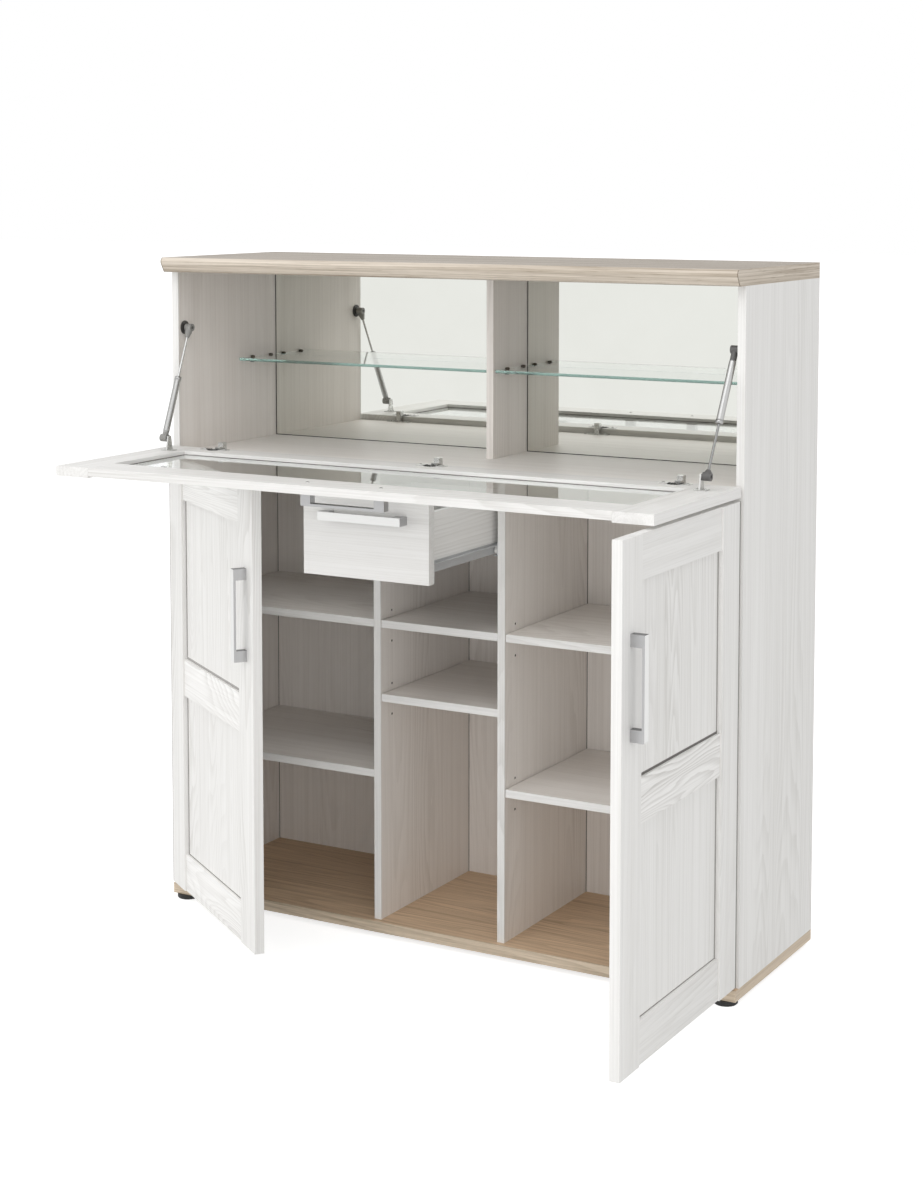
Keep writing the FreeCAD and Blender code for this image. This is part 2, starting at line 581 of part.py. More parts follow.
hinge_rail = pad("flap_hinge_blank", "YZ_Plane", [
    (FACE_OUT, FLAP_LOW), (FACE_IN, FLAP_LOW), (FACE_IN, RAIL_IN), (FACE_OUT, RAIL_IN),
], "2 * " + FIELD_END, None, FLAP)
round_edges(hinge_rail, "flap_round", hinge_corner)
hinge_slot = box("flap_hinge_slot", FIELD_X, PANE_SLOT_Y, (RAIL_IN + " - " + SLOT, RAIL_IN), FLAP)
node("flap_hinge_rail", cut("flap_hinge_rail_cut", hinge_rail, [hinge_slot] + flap_bores))
front_blank = box("flap_front_blank", FIELD_X, RAIL_Y, (RAIL_OUT, FLAP_HIGH), FLAP)
front_slot = box("flap_front_slot", FIELD_X, PANE_SLOT_Y, (RAIL_OUT, RAIL_OUT + " + " + SLOT), FLAP)
node("flap_front_rail", cut("flap_front_rail_cut", front_blank, [front_slot]))
for side, sign in (("left", -1), ("right", 1)):
    stile = pad("flap_%s_blank" % side, "YZ_Plane", [
        (FACE_OUT, FLAP_LOW), (FACE_IN, FLAP_LOW), (FACE_IN, FLAP_HIGH), (FACE_OUT, FLAP_HIGH),
    ], "frame_w", spot(at_side(sign, FLAP_END + " - frame_w / 2"), "0", "0"), FLAP)
    round_edges(stile, "flap_round", hinge_corner)
    slot = box("flap_%s_slot" % side, on_side(sign, FIELD_END, FIELD_END + " + " + SLOT), PANE_SLOT_Y,
               (RAIL_IN + " - " + SLOT, RAIL_OUT + " + " + SLOT), FLAP)
    node("flap_%s_stile" % side, cut("flap_%s_stile_cut" % side, stile, [slot]))
node("flap_glass", box("flap_pane", (FIELD_X[0] + " - tongue", FIELD_END + " + tongue"), PANE_Y,
                       (RAIL_IN + " - tongue", RAIL_OUT + " + tongue"), FLAP))
handle("flap_handle", spot("0", SET_FACE, FLAP_HIGH + " - flap_handle_in", OUTWARD), FLAP)

# Drawer box behind its front, with the bottom held in grooves
BOX_OUT = "(div_x - panel / 2 - runner_room)"
BOX_IN = "(%s - box_wall)" % BOX_OUT
BOX_LOW = "(%s + box_lift)" % DRAWER_LOW
BOX_HIGH = "(%s + box_lift + box_rise)" % DRAWER_LOW
BOX_REAR = "(%s - box_rear_gap)" % REAR
BOTTOM_Z = (BOX_LOW + " + box_bottom_up", BOX_LOW + " + box_bottom_up + box_bottom")
BOTTOM_SLOT_Z = (BOTTOM_Z[0] + " - groove_play", BOTTOM_Z[1] + " + groove_play")
GROOVE_END = "(%s + box_groove)" % BOX_IN
BOTTOM_END = "(%s + box_groove - groove_play)" % BOX_IN
front_board = box("drawer_front_board", ("0 - " + DRAWER_END, DRAWER_END), LEAF_Y,
                  (DRAWER_LOW, DOOR_TOP), DRAWER)
front_groove = box("drawer_front_groove", ("0 - " + GROOVE_END, GROOVE_END),
                   (FACE_IN + " - box_groove", FACE_IN), BOTTOM_SLOT_Z, DRAWER)
node("drawer_front", cut("drawer_front_cut", front_board, [front_groove]))
for side, sign in (("left", -1), ("right", 1)):
    board = box("drawer_%s_board" % side, on_side(sign, BOX_IN, BOX_OUT), (FACE_IN, BOX_REAR),
                (BOX_LOW, BOX_HIGH), DRAWER)
    groove = box("drawer_%s_groove" % side, on_side(sign, BOX_IN, GROOVE_END), (FACE_IN, BOX_REAR),
                 BOTTOM_SLOT_Z, DRAWER)
    node("drawer_%s_side" % side, cut("drawer_%s_cut" % side, board, [groove]))
node("drawer_back", box("drawer_back_board", ("0 - " + BOX_IN, BOX_IN), (BOX_REAR + " - box_wall", BOX_REAR),
                        (BOTTOM_Z[1], BOX_HIGH), DRAWER))
node("drawer_bottom", box("drawer_bottom_board", ("0 - " + BOTTOM_END, BOTTOM_END),
                          (FACE_IN + " - box_groove + groove_play", BOX_REAR), BOTTOM_Z, DRAWER))
handle("drawer_handle", spot("0", FACE_OUT, DOOR_TOP + " - drawer_handle_drop", OUTWARD), DRAWER)

# Roller runners: a folded profile on each drawer side and one on each divider
RAIL_FACE = "(div_x - panel / 2)"
RAIL_WEB = "(div_x - panel / 2 - run_metal)"
WEB_OUT = "(%s + run_metal)" % BOX_OUT
WING_END = "(%s - wing_gap)" % RAIL_WEB
LIP_END = "(%s + lip_gap)" % WEB_OUT
WING_Z = "(%s - run_metal - run_lip)" % BOX_LOW
ROLLER_Z = "(%s - roller_play - roller_dia / 2)" % WING_Z
LIP_Z = "(%s - roller_dia / 2 - roller_play)" % ROLLER_Z
RAIL_HIGH = "(%s - run_metal + rail_rise)" % LIP_Z
WHEEL_X = "(%s / 2 + %s / 2)" % (WEB_OUT, RAIL_WEB)
AXLE_LEN = "%s - %s - roller_play" % (RAIL_WEB, WEB_OUT)
FRONT_WHEEL_Y = "(%s + roller_front)" % FRONT
REAR_WHEEL_Y = "(%s + %s - roller_rear)" % (FACE_IN, RUN_LEN)


def drawer_run(side, sign):
    """Folded profile under the drawer side, with the axle of its rear roller."""
    corners = [
        (BOX_OUT + " - run_seat", BOX_LOW), (BOX_OUT, BOX_LOW),
        (BOX_OUT, BOX_LOW + " + run_lip"), (WEB_OUT, BOX_LOW + " + run_lip"),
        (WEB_OUT, WING_Z + " + run_metal"), (WING_END, WING_Z + " + run_metal"),
        (WING_END, WING_Z), (WEB_OUT, WING_Z),
        (WEB_OUT, BOX_LOW + " - run_web"), (BOX_OUT, BOX_LOW + " - run_web"),
        (BOX_OUT, BOX_LOW + " - run_metal"), (BOX_OUT + " - run_seat", BOX_LOW + " - run_metal"),
    ]
    run = pad("drawer_run_" + side, "XZ_Plane", [(at_side(sign, x), z) for x, z in corners],
              RUN_LEN, spot("0", FACE_IN + " + " + RUN_LEN + " / 2", "0"), DRAWER)
    start, _ = on_side(sign, WEB_OUT, WEB_OUT + " + " + AXLE_LEN)
    axle = rod("rear_axle_" + side, "axle_dia", AXLE_LEN,
               spot(start, REAR_WHEEL_Y, ROLLER_Z, ALONG_X), DRAWER)
    return fuse("drawer_run_set_" + side, [run, axle])


def cabinet_run(side, sign):
    """Angle profile on the divider, with the axle of its front roller."""
    corners = [
        (RAIL_FACE, RAIL_HIGH), (RAIL_WEB, RAIL_HIGH), (RAIL_WEB, LIP_Z),
        (LIP_END, LIP_Z), (LIP_END, LIP_Z + " - run_metal"), (RAIL_FACE, LIP_Z + " - run_metal"),
    ]
    rail = pad("rail_" + side, "XZ_Plane", [(at_side(sign, x), z) for x, z in corners],
               RUN_LEN, spot("0", FRONT + " + " + RUN_LEN + " / 2", "0"))
    start, _ = on_side(sign, WEB_OUT + " + roller_play", RAIL_WEB)
    axle = rod("front_axle_" + side, "axle_dia", AXLE_LEN, spot(start, FRONT_WHEEL_Y, ROLLER_Z, ALONG_X))
    return fuse("rail_set_" + side, [rail, axle])


def roller(name, sign, y, frame=None):
    bore = "axle_dia / 2 + roller_play"
    tread = "roller_dia / 2"
    half = "roller_w / 2"
    return revolve(name, [
        (bore, "0 - " + half),
        (tread + " - roller_bevel", "0 - " + half),
        (tread, "0 - " + half + " + roller_bevel"),
        (tread, half + " - roller_bevel"),
        (tread + " - roller_bevel", half),
        (bore, half),
    ], spot(at_side(sign, WHEEL_X), y, ROLLER_Z, ALONG_X), frame)


SIDES = (("right", 1), ("left", -1))
node("drawer_runners", group("drawer_run_group", [drawer_run(*side) for side in SIDES]))
node("cabinet_runners", group("rail_group", [cabinet_run(*side) for side in SIDES]))
node("front_rollers", group("front_roller_group", [
    roller("front_roller_" + side, sign, FRONT_WHEEL_Y) for side, sign in SIDES]))
node("rear_rollers", group("rear_roller_group", [
    roller("rear_roller_" + side, sign, REAR_WHEEL_Y, DRAWER) for side, sign in SIDES]))

# Flap stays: each lies on the line from the stud on the side panel to the bracket on the open flap
FLAP_FACE = "(%s + %s + %s - door_gap)" % (FLAP_LOW, FLAP_PIN_U, FLAP_PIN_V)
STAY_TOP = ("(%s - stay_top_in)" % SIDE_IN, "(%s + stay_top_back)" % FRONT,
            "(%s + stay_top_rise)" % FLOOR_TOP)
STAY_LOW = ("(%s - stay_low_in)" % SIDE_IN, "(%s - stay_low_out)" % FRONT,
            "(%s + stay_low_rise)" % FLAP_FACE)
RUN_X, RUN_Y, RUN_Z = ["(%s - %s)" % ends for ends in zip(STAY_TOP, STAY_LOW)]
STAY_LEN = "sqrt(pow(%s; 2) + pow(%s; 2) + pow(%s; 2))" % (RUN_Y, RUN_Z, RUN_X)
LEAN = "atan2(%s; %s)" % (RUN_Y, RUN_Z)
TILT = "asin(%s / %s)" % (RUN_X, STAY_LEN)
END_OVER = "rotation(vector(1; 0; 0); 180)"


def eye(name, body, sign, pivot):
    """Adds a ring round the pivot to one half of a stay."""
    where = spot(at_side(sign, pivot[0]) + " - eye_w / 2", pivot[1], pivot[2], ALONG_X)
    ring = rod(name + "_ring", "eye_out", "eye_w", where)
    hole = rod(name + "_hole", "stud_dia + 2 * stud_play", "eye_w", where)
    return cut(name + "_eye", fuse(name + "_body", [body, ring]), [hole])


def stay(side, sign):
    """Cylinder and rod of one stay: rod above on the left, cylinder above on the right."""
    tilt = "-1 * " + TILT if sign > 0 else TILT
    down = (spot(at_side(sign, STAY_TOP[0]), STAY_TOP[1], STAY_TOP[2],
                 "rotation(vector(1; 0; 0); 180 deg - %s)" % LEAN)
            + " * " + spot("0", "0", "0", "rotation(vector(0; 1; 0); %s)" % tilt))
    up = down + " * " + spot("0", "0", STAY_LEN, END_OVER)
    ends = {"upper": (down, STAY_TOP), "lower": (up, STAY_LOW)}
    tube_line, tube_pivot = ends["upper" if sign > 0 else "lower"]
    rod_line, rod_pivot = ends["lower" if sign > 0 else "upper"]
    tube_cap = "cap_high" if sign > 0 else "cap_low"
    rod_cap = "cap_low" if sign > 0 else "cap_high"
    tube = revolve("stay_%s_tube" % side, [
        ("0", "0"),
        ("cap_dia / 2", "0"),
        ("cap_dia / 2", tube_cap),
        ("tube_dia / 2 - tube_bevel", tube_cap),
        ("tube_dia / 2", tube_cap + " + tube_bevel"),
        ("tube_dia / 2", tube_cap + " + tube_len"),
        ("tube_bore / 2", tube_cap + " + tube_len"),
        ("tube_bore / 2", tube_cap + " + tube_floor"),
        ("0", tube_cap + " + tube_floor"),
    ], tube_line)
    stem = revolve("stay_%s_stem" % side, [
        ("0", "0"),
        ("socket_dia / 2", "0"),
        ("socket_dia / 2", rod_cap + " / 2"),
        ("neck_dia / 2", rod_cap),
        ("rod_dia / 2", rod_cap),
        ("rod_dia / 2", "rod_len"),
        ("0", "rod_len"),
    ], rod_line)
    node(side + "_stay_cylinder", eye("stay_%s_cylinder" % side, tube, sign, tube_pivot))
    node(side + "_stay_rod", eye("stay_%s_rod" % side, stem, sign, rod_pivot))


def stud(side, sign):
    """Disc on the side panel with the stud that carries the upper eye."""
    x_disc, _ = on_side(sign, SIDE_IN + " - stud_disc_thick", SIDE_IN)
    disc = rod("stud_disc_" + side, "stud_disc", "stud_disc_thick",
               spot(x_disc, STAY_TOP[1], STAY_TOP[2], ALONG_X))
    x_pin, _ = on_side(sign, STAY_TOP[0] + " - eye_w / 2 - stud_proud", SIDE_IN)
    pin = rod("stud_" + side, "stud_dia", "stay_top_in + eye_w / 2 + stud_proud",
              spot(x_pin, STAY_TOP[1], STAY_TOP[2], ALONG_X))
    return fuse("stud_set_" + side, [disc, pin])


def bracket(side, sign):
    """Ear on the flap beside the inboard face of the lower eye."""
    eye_face = STAY_LOW[0] + " - eye_w / 2"
    ear_x = at_side(sign, eye_face + " - ear_gap - ear_thick / 2")
    foot = (STAY_LOW[1] + " - ear_foot / 2", STAY_LOW[1] + " + ear_foot / 2")
    ear = pad("ear_" + side, "YZ_Plane", [
        (foot[0], FLAP_FACE),
        (foot[1], FLAP_FACE),
        (STAY_LOW[1] + " + ear_head / 2", STAY_LOW[2] + " + ear_over"),
        (STAY_LOW[1] + " - ear_head / 2", STAY_LOW[2] + " + ear_over"),
    ], "ear_thick", spot(ear_x, "0", "0"))
    plate = box("ear_plate_" + side, (ear_x + " - ear_plate_w / 2", ear_x + " + ear_plate_w / 2"), foot,
                (FLAP_FACE, FLAP_FACE + " + ear_plate"))
    x_tip, _ = on_side(sign, eye_face + " - ear_gap", eye_face + " - ear_pin_gap")
    tip = rod("ear_pin_" + side, "stud_dia", "ear_gap - ear_pin_gap",
              spot(x_tip, STAY_LOW[1], STAY_LOW[2], ALONG_X))
    return fuse("ear_set_" + side, [ear, plate, tip])


for side, sign in SIDES:
    stay(side, sign)
node("stay_side_studs", group("stud_group", [stud(*side) for side in SIDES]))
node("flap_stay_brackets", group("ear_group", [bracket(*side) for side in SIDES]))

doc.recompute()
failed = [item.Name for item in doc.Objects if "Invalid" in item.State or "Error" in item.State]
for label, piece in NODES.items():
    if piece.Shape.isNull() or not piece.Shape.isValid():
        failed.append(label)
if failed:
    raise RuntimeError("failed objects: " + ", ".join(failed))

os.makedirs("parts", exist_ok=True)
for label, piece in NODES.items():
    piece.Shape.exportStep("parts/" + label + ".step")
print(len(NODES), "nodes written")
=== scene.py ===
"""Bar cabinet with a fold-out shelf: finishes, small fittings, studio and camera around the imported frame."""
import json
import math

import bmesh
import bpy
from mathutils import Matrix, Vector


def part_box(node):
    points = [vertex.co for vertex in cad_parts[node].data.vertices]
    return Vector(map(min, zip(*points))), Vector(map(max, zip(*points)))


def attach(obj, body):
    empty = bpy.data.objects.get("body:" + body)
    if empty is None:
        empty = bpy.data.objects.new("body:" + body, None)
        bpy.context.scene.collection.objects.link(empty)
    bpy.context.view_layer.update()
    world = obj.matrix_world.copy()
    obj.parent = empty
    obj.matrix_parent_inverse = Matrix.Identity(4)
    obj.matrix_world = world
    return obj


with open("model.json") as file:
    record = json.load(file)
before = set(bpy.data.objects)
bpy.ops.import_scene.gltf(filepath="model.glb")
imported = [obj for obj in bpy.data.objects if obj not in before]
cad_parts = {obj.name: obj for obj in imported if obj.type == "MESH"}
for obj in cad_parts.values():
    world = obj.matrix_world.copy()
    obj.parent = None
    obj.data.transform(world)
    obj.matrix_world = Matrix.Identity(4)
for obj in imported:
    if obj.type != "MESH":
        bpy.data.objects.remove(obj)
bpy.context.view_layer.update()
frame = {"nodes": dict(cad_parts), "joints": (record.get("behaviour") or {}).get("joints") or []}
nodes = frame["nodes"]
scene = bpy.context.scene

X, Y, Z = 0, 1, 2
SIDES = (("left", -1), ("right", 1))

# Places taken from the frame, in metres
SIDE_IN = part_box("side_right")[0][X]
SIDE_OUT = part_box("side_right")[1][X]
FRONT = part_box("side_right")[0][Y]
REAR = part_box("back_panel")[0][Y]
BACK_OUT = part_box("back_panel")[1][Y]
FLOOR_UNDER, FLOOR_TOP = (corner[Z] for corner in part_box("bar_floor"))
BOARD = FLOOR_TOP - FLOOR_UNDER
BASE_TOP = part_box("base_board")[1][Z]
BASE_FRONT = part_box("base_board")[0][Y]
TOP_UNDER, TOP_FACE = (corner[Z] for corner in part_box("top_board"))
BAR_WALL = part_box("bar_divider")[1][X]

JOINTS = {joint["name"]: joint for joint in frame["joints"]}


def opened(name):
    """Move that takes a hinged leaf from its closed place to its place at rest."""
    joint = JOINTS[name]
    pin = Vector(joint["pos_m"])
    turn = Matrix.Rotation(math.radians(-joint["range_deg"][0]), 4, Vector(joint["axis"]))
    return Matrix.Translation(pin) @ turn @ Matrix.Translation(-pin)


DRAWN = JOINTS["drawer_slide"]
TO_REST = {
    "carcass": Matrix.Identity(4),
    "right_door": opened("right_door_hinge"),
    "left_door": opened("left_door_hinge"),
    "flap": opened("flap_hinge"),
    "drawer": Matrix.Translation(Vector(DRAWN["axis"]) * -DRAWN["range_m"][0]),
}


def closed_box(node, body):
    """Lowest and highest corner of a node where it is when its body is closed."""
    back = TO_REST[body].inverted()
    corners = [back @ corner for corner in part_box(node)]
    return Vector(map(min, *corners)), Vector(map(max, *corners))


# Colours
def srgb(red, green, blue):
    """Colour given as 0 to 255 screen values."""
    def linear(value):
        value /= 255
        return value / 12.92 if value <= 0.04045 else ((value + 0.055) / 1.055) ** 2.4
    return linear(red), linear(green), linear(blue), 1.0


def darker(colour, share):
    """The colour with its light cut to a share."""
    return tuple(channel * share for channel in colour[:3]) + (1.0,)


# Handle tones: a painted highlight on the front, grey flanks, and painted shade on the rear
HANDLE_FACE_HIGHLIGHT = srgb(234, 234, 233)
HANDLE_FLANK = srgb(193, 193, 194)
HANDLE_REAR_SHADE = srgb(112, 112, 113)
STEEL = srgb(208, 208, 206)
CHROME = srgb(200, 200, 199)
CHROME_DARK = srgb(150, 150, 149)
TUBE_GREY = srgb(178, 178, 177)
TUBE_LIGHT = srgb(196, 196, 195)
SOCKET_GREY = srgb(150, 149, 146)
SOCKET_DARK = srgb(98, 97, 96)
PIN_DARK = srgb(84, 82, 80)
STUD_DARK = srgb(74, 72, 70)
CLIP_BROWN = srgb(84, 74, 62)
RUNNER_COAT = srgb(190, 191, 192)
NYLON = srgb(242, 241, 237)
BLACK = srgb(28, 28, 28)
SLOT_SHADE = srgb(52, 51, 50)
GAP_DARK = srgb(64, 60, 57)
GAP_SOFT = srgb(128, 124, 120)
SHADE_DEEP = srgb(112, 109, 106)
SHADE_SIDE = srgb(172, 169, 167)
SEAM_BROWN = srgb(98, 84, 68)
CHIP_LIGHT, CHIP_DARK = srgb(74, 62, 50), srgb(38, 31, 25)
MIRROR_CLEAR, MIRROR_HAZE = srgb(236, 237, 232), srgb(230, 231, 225)
SHELF_FACE, SHELF_EDGE = srgb(246, 251, 249), srgb(206, 227, 223)
PANE_FACE, PANE_EDGE = srgb(240, 243, 242), srgb(150, 190, 180)

# Kinds of printed wood, with the values that wood() reads
WHITE_PINE = {
    "light": srgb(241, 240, 238), "dark": srgb(192, 189, 183),
    "warm_light": srgb(241, 236, 231), "warm_dark": srgb(200, 192, 184),
    "rings": 44.0, "across": 5.0, "along": 0.45, "ripple": 0.012, "plain": 0.1,
    "broad": 0.12, "fine": 0.16, "pores": 0.07, "rough": 0.46, "bump": 0.08,
}
RAIL_PINE = dict(WHITE_PINE, light=srgb(250, 249, 247), dark=srgb(176, 172, 166), across=9.0, along=1.2,
                 plain=0.5)
# The drawer front's tone is cut as painted shade from the flap above it
SHADED_FRONT_PINE = dict(WHITE_PINE, light=srgb(234, 233, 231))
PANEL_PINE = dict(WHITE_PINE, across=7.0, along=0.7)
# The bar floor's inside tones are lifted near white as painted light on the shaded floor
LIT_FLOOR_PINE = dict(WHITE_PINE, warm_light=srgb(249, 246, 242), warm_dark=srgb(208, 202, 195))
OAK = {
    "light": srgb(180, 171, 160), "dark": srgb(126, 114, 99),
    "band_light": srgb(226, 215, 201), "band_dark": srgb(150, 135, 115),
    "rings": 36.0, "across": 7.0, "along": 0.45, "ripple": 0.010, "plain": 0.1,
    "broad": 0.42, "fine": 0.5, "pores": 0.3, "rough": 0.5, "bump": 0.12,
}
# The base board's oak is lighter than the top board's as painted light on its shaded top, and warmer in tone
BASE_OAK = dict(OAK, light=srgb(226, 197, 165), dark=srgb(172, 145, 117), broad=0.28, fine=0.36,
                band_light=srgb(221, 204, 182), band_dark=srgb(162, 144, 120))


# Helpers for shader nodes
def shader(name):
    """New node material with its main shader; returns the material, the tree and the shader."""
    mat = bpy.data.materials.new(name)
    mat.use_nodes = True
    tree = mat.node_tree
    return mat, tree, tree.nodes["Principled BSDF"]


def add(tree, kind, inputs=None, **props):
    """Adds one node, links or sets its inputs by name or index, and returns it."""
    item = tree.nodes.new("ShaderNode" + kind)
    for key, value in props.items():
        setattr(item, key, value)
    for key, value in (inputs or {}).items():
        socket = item.inputs[key]
        if isinstance(value, bpy.types.NodeSocket):
            tree.links.new(value, socket)
        else:
            socket.default_value = value
    return item


def object_place(tree):
    """Place on the object, in metres."""
    return add(tree, "TexCoord").outputs["Object"]


def math_node(tree, operation, a, b=0.0):
    """One sum on two values."""
    return add(tree, "Math", {0: a, 1: b}, operation=operation).outputs[0]


def remap(tree, value, low, high, to_low=0.0, to_high=1.0):
    """Smooth step between two levels of a value."""
    return add(tree, "MapRange", {"Value": value, "From Min": low, "From Max": high,
                                  "To Min": to_low, "To Max": to_high},
               interpolation_type="SMOOTHSTEP").outputs["Result"]


def noise(tree, vector, detail=2.0, rough=0.5, scale=1.0, distortion=0.0):
    """Cloudy pattern."""
    return add(tree, "TexNoise", {"Vector": vector, "Scale": scale, "Detail": detail, "Roughness": rough,
                                  "Distortion": distortion}).outputs["Fac"]


def blend_colour(tree, factor, a, b):
    """The first colour where the factor is zero, the second where it is one."""
    return add(tree, "Mix", {0: factor, 6: a, 7: b}, data_type="RGBA").outputs[2]


# Printed wood: scales are per metre across and along the grain, levels are where a mask starts and ends
SEED_SHIFT = (0.37, 0.53, 0.71)
FIELD_NOISE = {"detail": 1.6, "rough": 0.45, "distortion": 0.2}
RIPPLE_SCALE = (70.0, 16.0)
PATCH_SCALE = (6.0, 0.9)
PATCH_DETAIL = 1.0
PATCH_LEVELS = (0.42, 0.66)
RING_RISE = (0.25, 0.9)
RING_FALL = (0.92, 1.0)
STREAK_ROUGH = 0.6
MATT_STEP = 0.16
GRAIN_DEPTH = 0.0006
INNER_LEVELS = (SIDE_IN + 0.0003, SIDE_IN + 0.0005)
BEHIND_EDGE = (FRONT + 0.0022, FRONT + 0.003)
END_LEVELS = (SIDE_OUT - 0.001, SIDE_OUT - 0.0002)
BAND_BLUR = 0.001

# Kind, scale across and along the grain, detail, and the noise levels between which a streak darkens
STREAK_LAYERS = (("broad", 62.0, 0.7, 2.0, 0.38, 0.70), ("fine", 380.0, 2.6, 2.0, 0.38, 0.70),
                 ("pores", 820.0, 22.0, 1.0, 0.58, 0.72))


def inner_faces(tree, place):
    """One on the faces inside the carcass, zero on its outside and its front edges."""
    part = add(tree, "SeparateXYZ", {0: place}).outputs
    across = remap(tree, math_node(tree, "ABSOLUTE", part[X]), *INNER_LEVELS, 1.0, 0.0)
    return math_node(tree, "MULTIPLY", across, remap(tree, part[Y], *BEHIND_EDGE))


def wood(name, kind, grain, seed, figure, turn=0.0, inside=False, band=None):
    """Printed wood: flame-shaped year rings in patches, broad and fine streaks, and short pores.

    A kind gives the tones, the year rings with their spread across and along the grain, the strength of the
    ripple and of each layer of streaks, the share of rings left in plain patches, and the gloss.
    The faces inside the carcass may have a warmer tone, a painted tint of the warm shade inside. With a band,
    the edge in front of that depth and the board's ends have a tone of their own, and on the ends the streaks
    run from front to back.
    """
    mat, tree, bsdf = shader(name)
    place = object_place(tree)
    shift = [step * seed for step in SEED_SHIFT]
    turned = add(tree, "Mapping", {"Vector": place, "Rotation": (0, 0, turn), "Location": shift}).outputs[0]

    def stretched(across, along, axis=grain):
        scale = [across, across, across]
        scale[axis] = along
        return add(tree, "Mapping", {"Vector": turned, "Scale": scale}).outputs[0]

    def streaks(shade, axis=grain):
        for layer, across, along, detail, low, high in STREAK_LAYERS:
            lines = noise(tree, stretched(across, along, axis), detail, STREAK_ROUGH)
            lines = math_node(tree, "MULTIPLY", remap(tree, lines, low, high), kind[layer])
            shade = math_node(tree, "ADD", shade, lines)
        return shade

    field = noise(tree, stretched(kind["across"], kind["along"]), **FIELD_NOISE)
    ripple = math_node(tree, "MULTIPLY", noise(tree, stretched(*RIPPLE_SCALE)), kind["ripple"])
    field = math_node(tree, "ADD", field, ripple)
    wave = math_node(tree, "FRACT", math_node(tree, "MULTIPLY", field, kind["rings"]))
    fall = remap(tree, wave, *RING_FALL, 1.0, 0.0)
    rings = math_node(tree, "MULTIPLY", remap(tree, wave, *RING_RISE), fall)
    patches = noise(tree, stretched(*PATCH_SCALE), PATCH_DETAIL)
    patches = remap(tree, patches, *PATCH_LEVELS, kind["plain"], 1.0)
    shade = streaks(math_node(tree, "MULTIPLY", math_node(tree, "MULTIPLY", rings, patches), figure))
    light, dark = kind["light"], kind["dark"]
    # Painted warm tint of the shade on the faces inside the carcass
    if inside:
        mask = inner_faces(tree, place)
        light = blend_colour(tree, mask, light, kind["warm_light"])
        dark = blend_colour(tree, mask, dark, kind["warm_dark"])
    if band is not None:
        part = add(tree, "SeparateXYZ", {0: place}).outputs
        nose = remap(tree, part[Y], band - BAND_BLUR, band + BAND_BLUR, 1.0, 0.0)
        ends = remap(tree, math_node(tree, "ABSOLUTE", part[X]), *END_LEVELS)
        mask = math_node(tree, "MAXIMUM", nose, ends)
        shade = add(tree, "Mix", {0: ends, 2: shade, 3: streaks(0.0, Y)}).outputs[0]
        light = blend_colour(tree, mask, light, kind["band_light"])
        dark = blend_colour(tree, mask, dark, kind["band_dark"])
    rough = remap(tree, shade, 0.0, 1.0, kind["rough"], kind["rough"] + MATT_STEP)
    bump = add(tree, "Bump", {"Height": shade, "Strength": kind["bump"], "Distance": GRAIN_DEPTH},
               invert=True)
    tree.links.new(blend_colour(tree, shade, light, dark), bsdf.inputs["Base Color"])
    tree.links.new(rough, bsdf.inputs["Roughness"])
    tree.links.new(bump.outputs[0], bsdf.inputs["Normal"])
    return mat


# Metals, plastics and glass: scales are per metre, levels are where a mask starts and ends
CLOUD_LEVELS = (0.3, 0.7)
FINE_NOISE = {"detail": 3.0, "rough": 0.6}
CHIP_NOISE = {"detail": 4.0, "rough": 0.7, "scale": 900.0}
HAZE_NOISE = {"detail": 4.0, "rough": 0.6, "scale": 9.0}
PLATING = {"scale": 260.0, "worn": 0.82, "rough": (0.8, 1.25)}
BRUSHING = {"across": 2600.0, "along": 30.0, "flank_worn": 0.8, "face_worn": 0.9, "rough": (0.28, 0.42)}
HIGHLIGHT_FACING = (0.4, 0.9)
SHADE_FACING = (-0.9, -0.4)
UPWARD_SHADE = (0.5, 0.9)
DRAWN_TUBE = {"scale": 420.0, "worn": 0.8, "socket_rough": 0.42, "socket_blur": 0.0004}
MOULDING = {"worn": 0.86, "levels": (0.35, 0.7), "rough_step": 0.15, "bump": 0.12, "depth": 0.0002}
MOULD_SCALE = 700.0
CHIP_ROUGH = 0.9
HAZE_LEVELS = (0.3, 0.8)
HAZE_ROUGH = 0.012
FACE_TO_EDGE = (0.4, 0.8)
CUT_ROUGH = 0.18
GLASS_IOR = 1.5


def metal(name, colour, rough):
    """Plated metal with cloudy wear."""
    mat, tree, bsdf = shader(name)
    wear = noise(tree, object_place(tree), scale=PLATING["scale"])
    tone = blend_colour(tree, wear, colour, darker(colour, PLATING["worn"]))
    smooth, matt = (rough * share for share in PLATING["rough"])
    tree.links.new(tone, bsdf.inputs["Base Color"])
    tree.links.new(remap(tree, wear, *CLOUD_LEVELS, smooth, matt), bsdf.inputs["Roughness"])
    bsdf.inputs["Metallic"].default_value = 1.0
    return mat


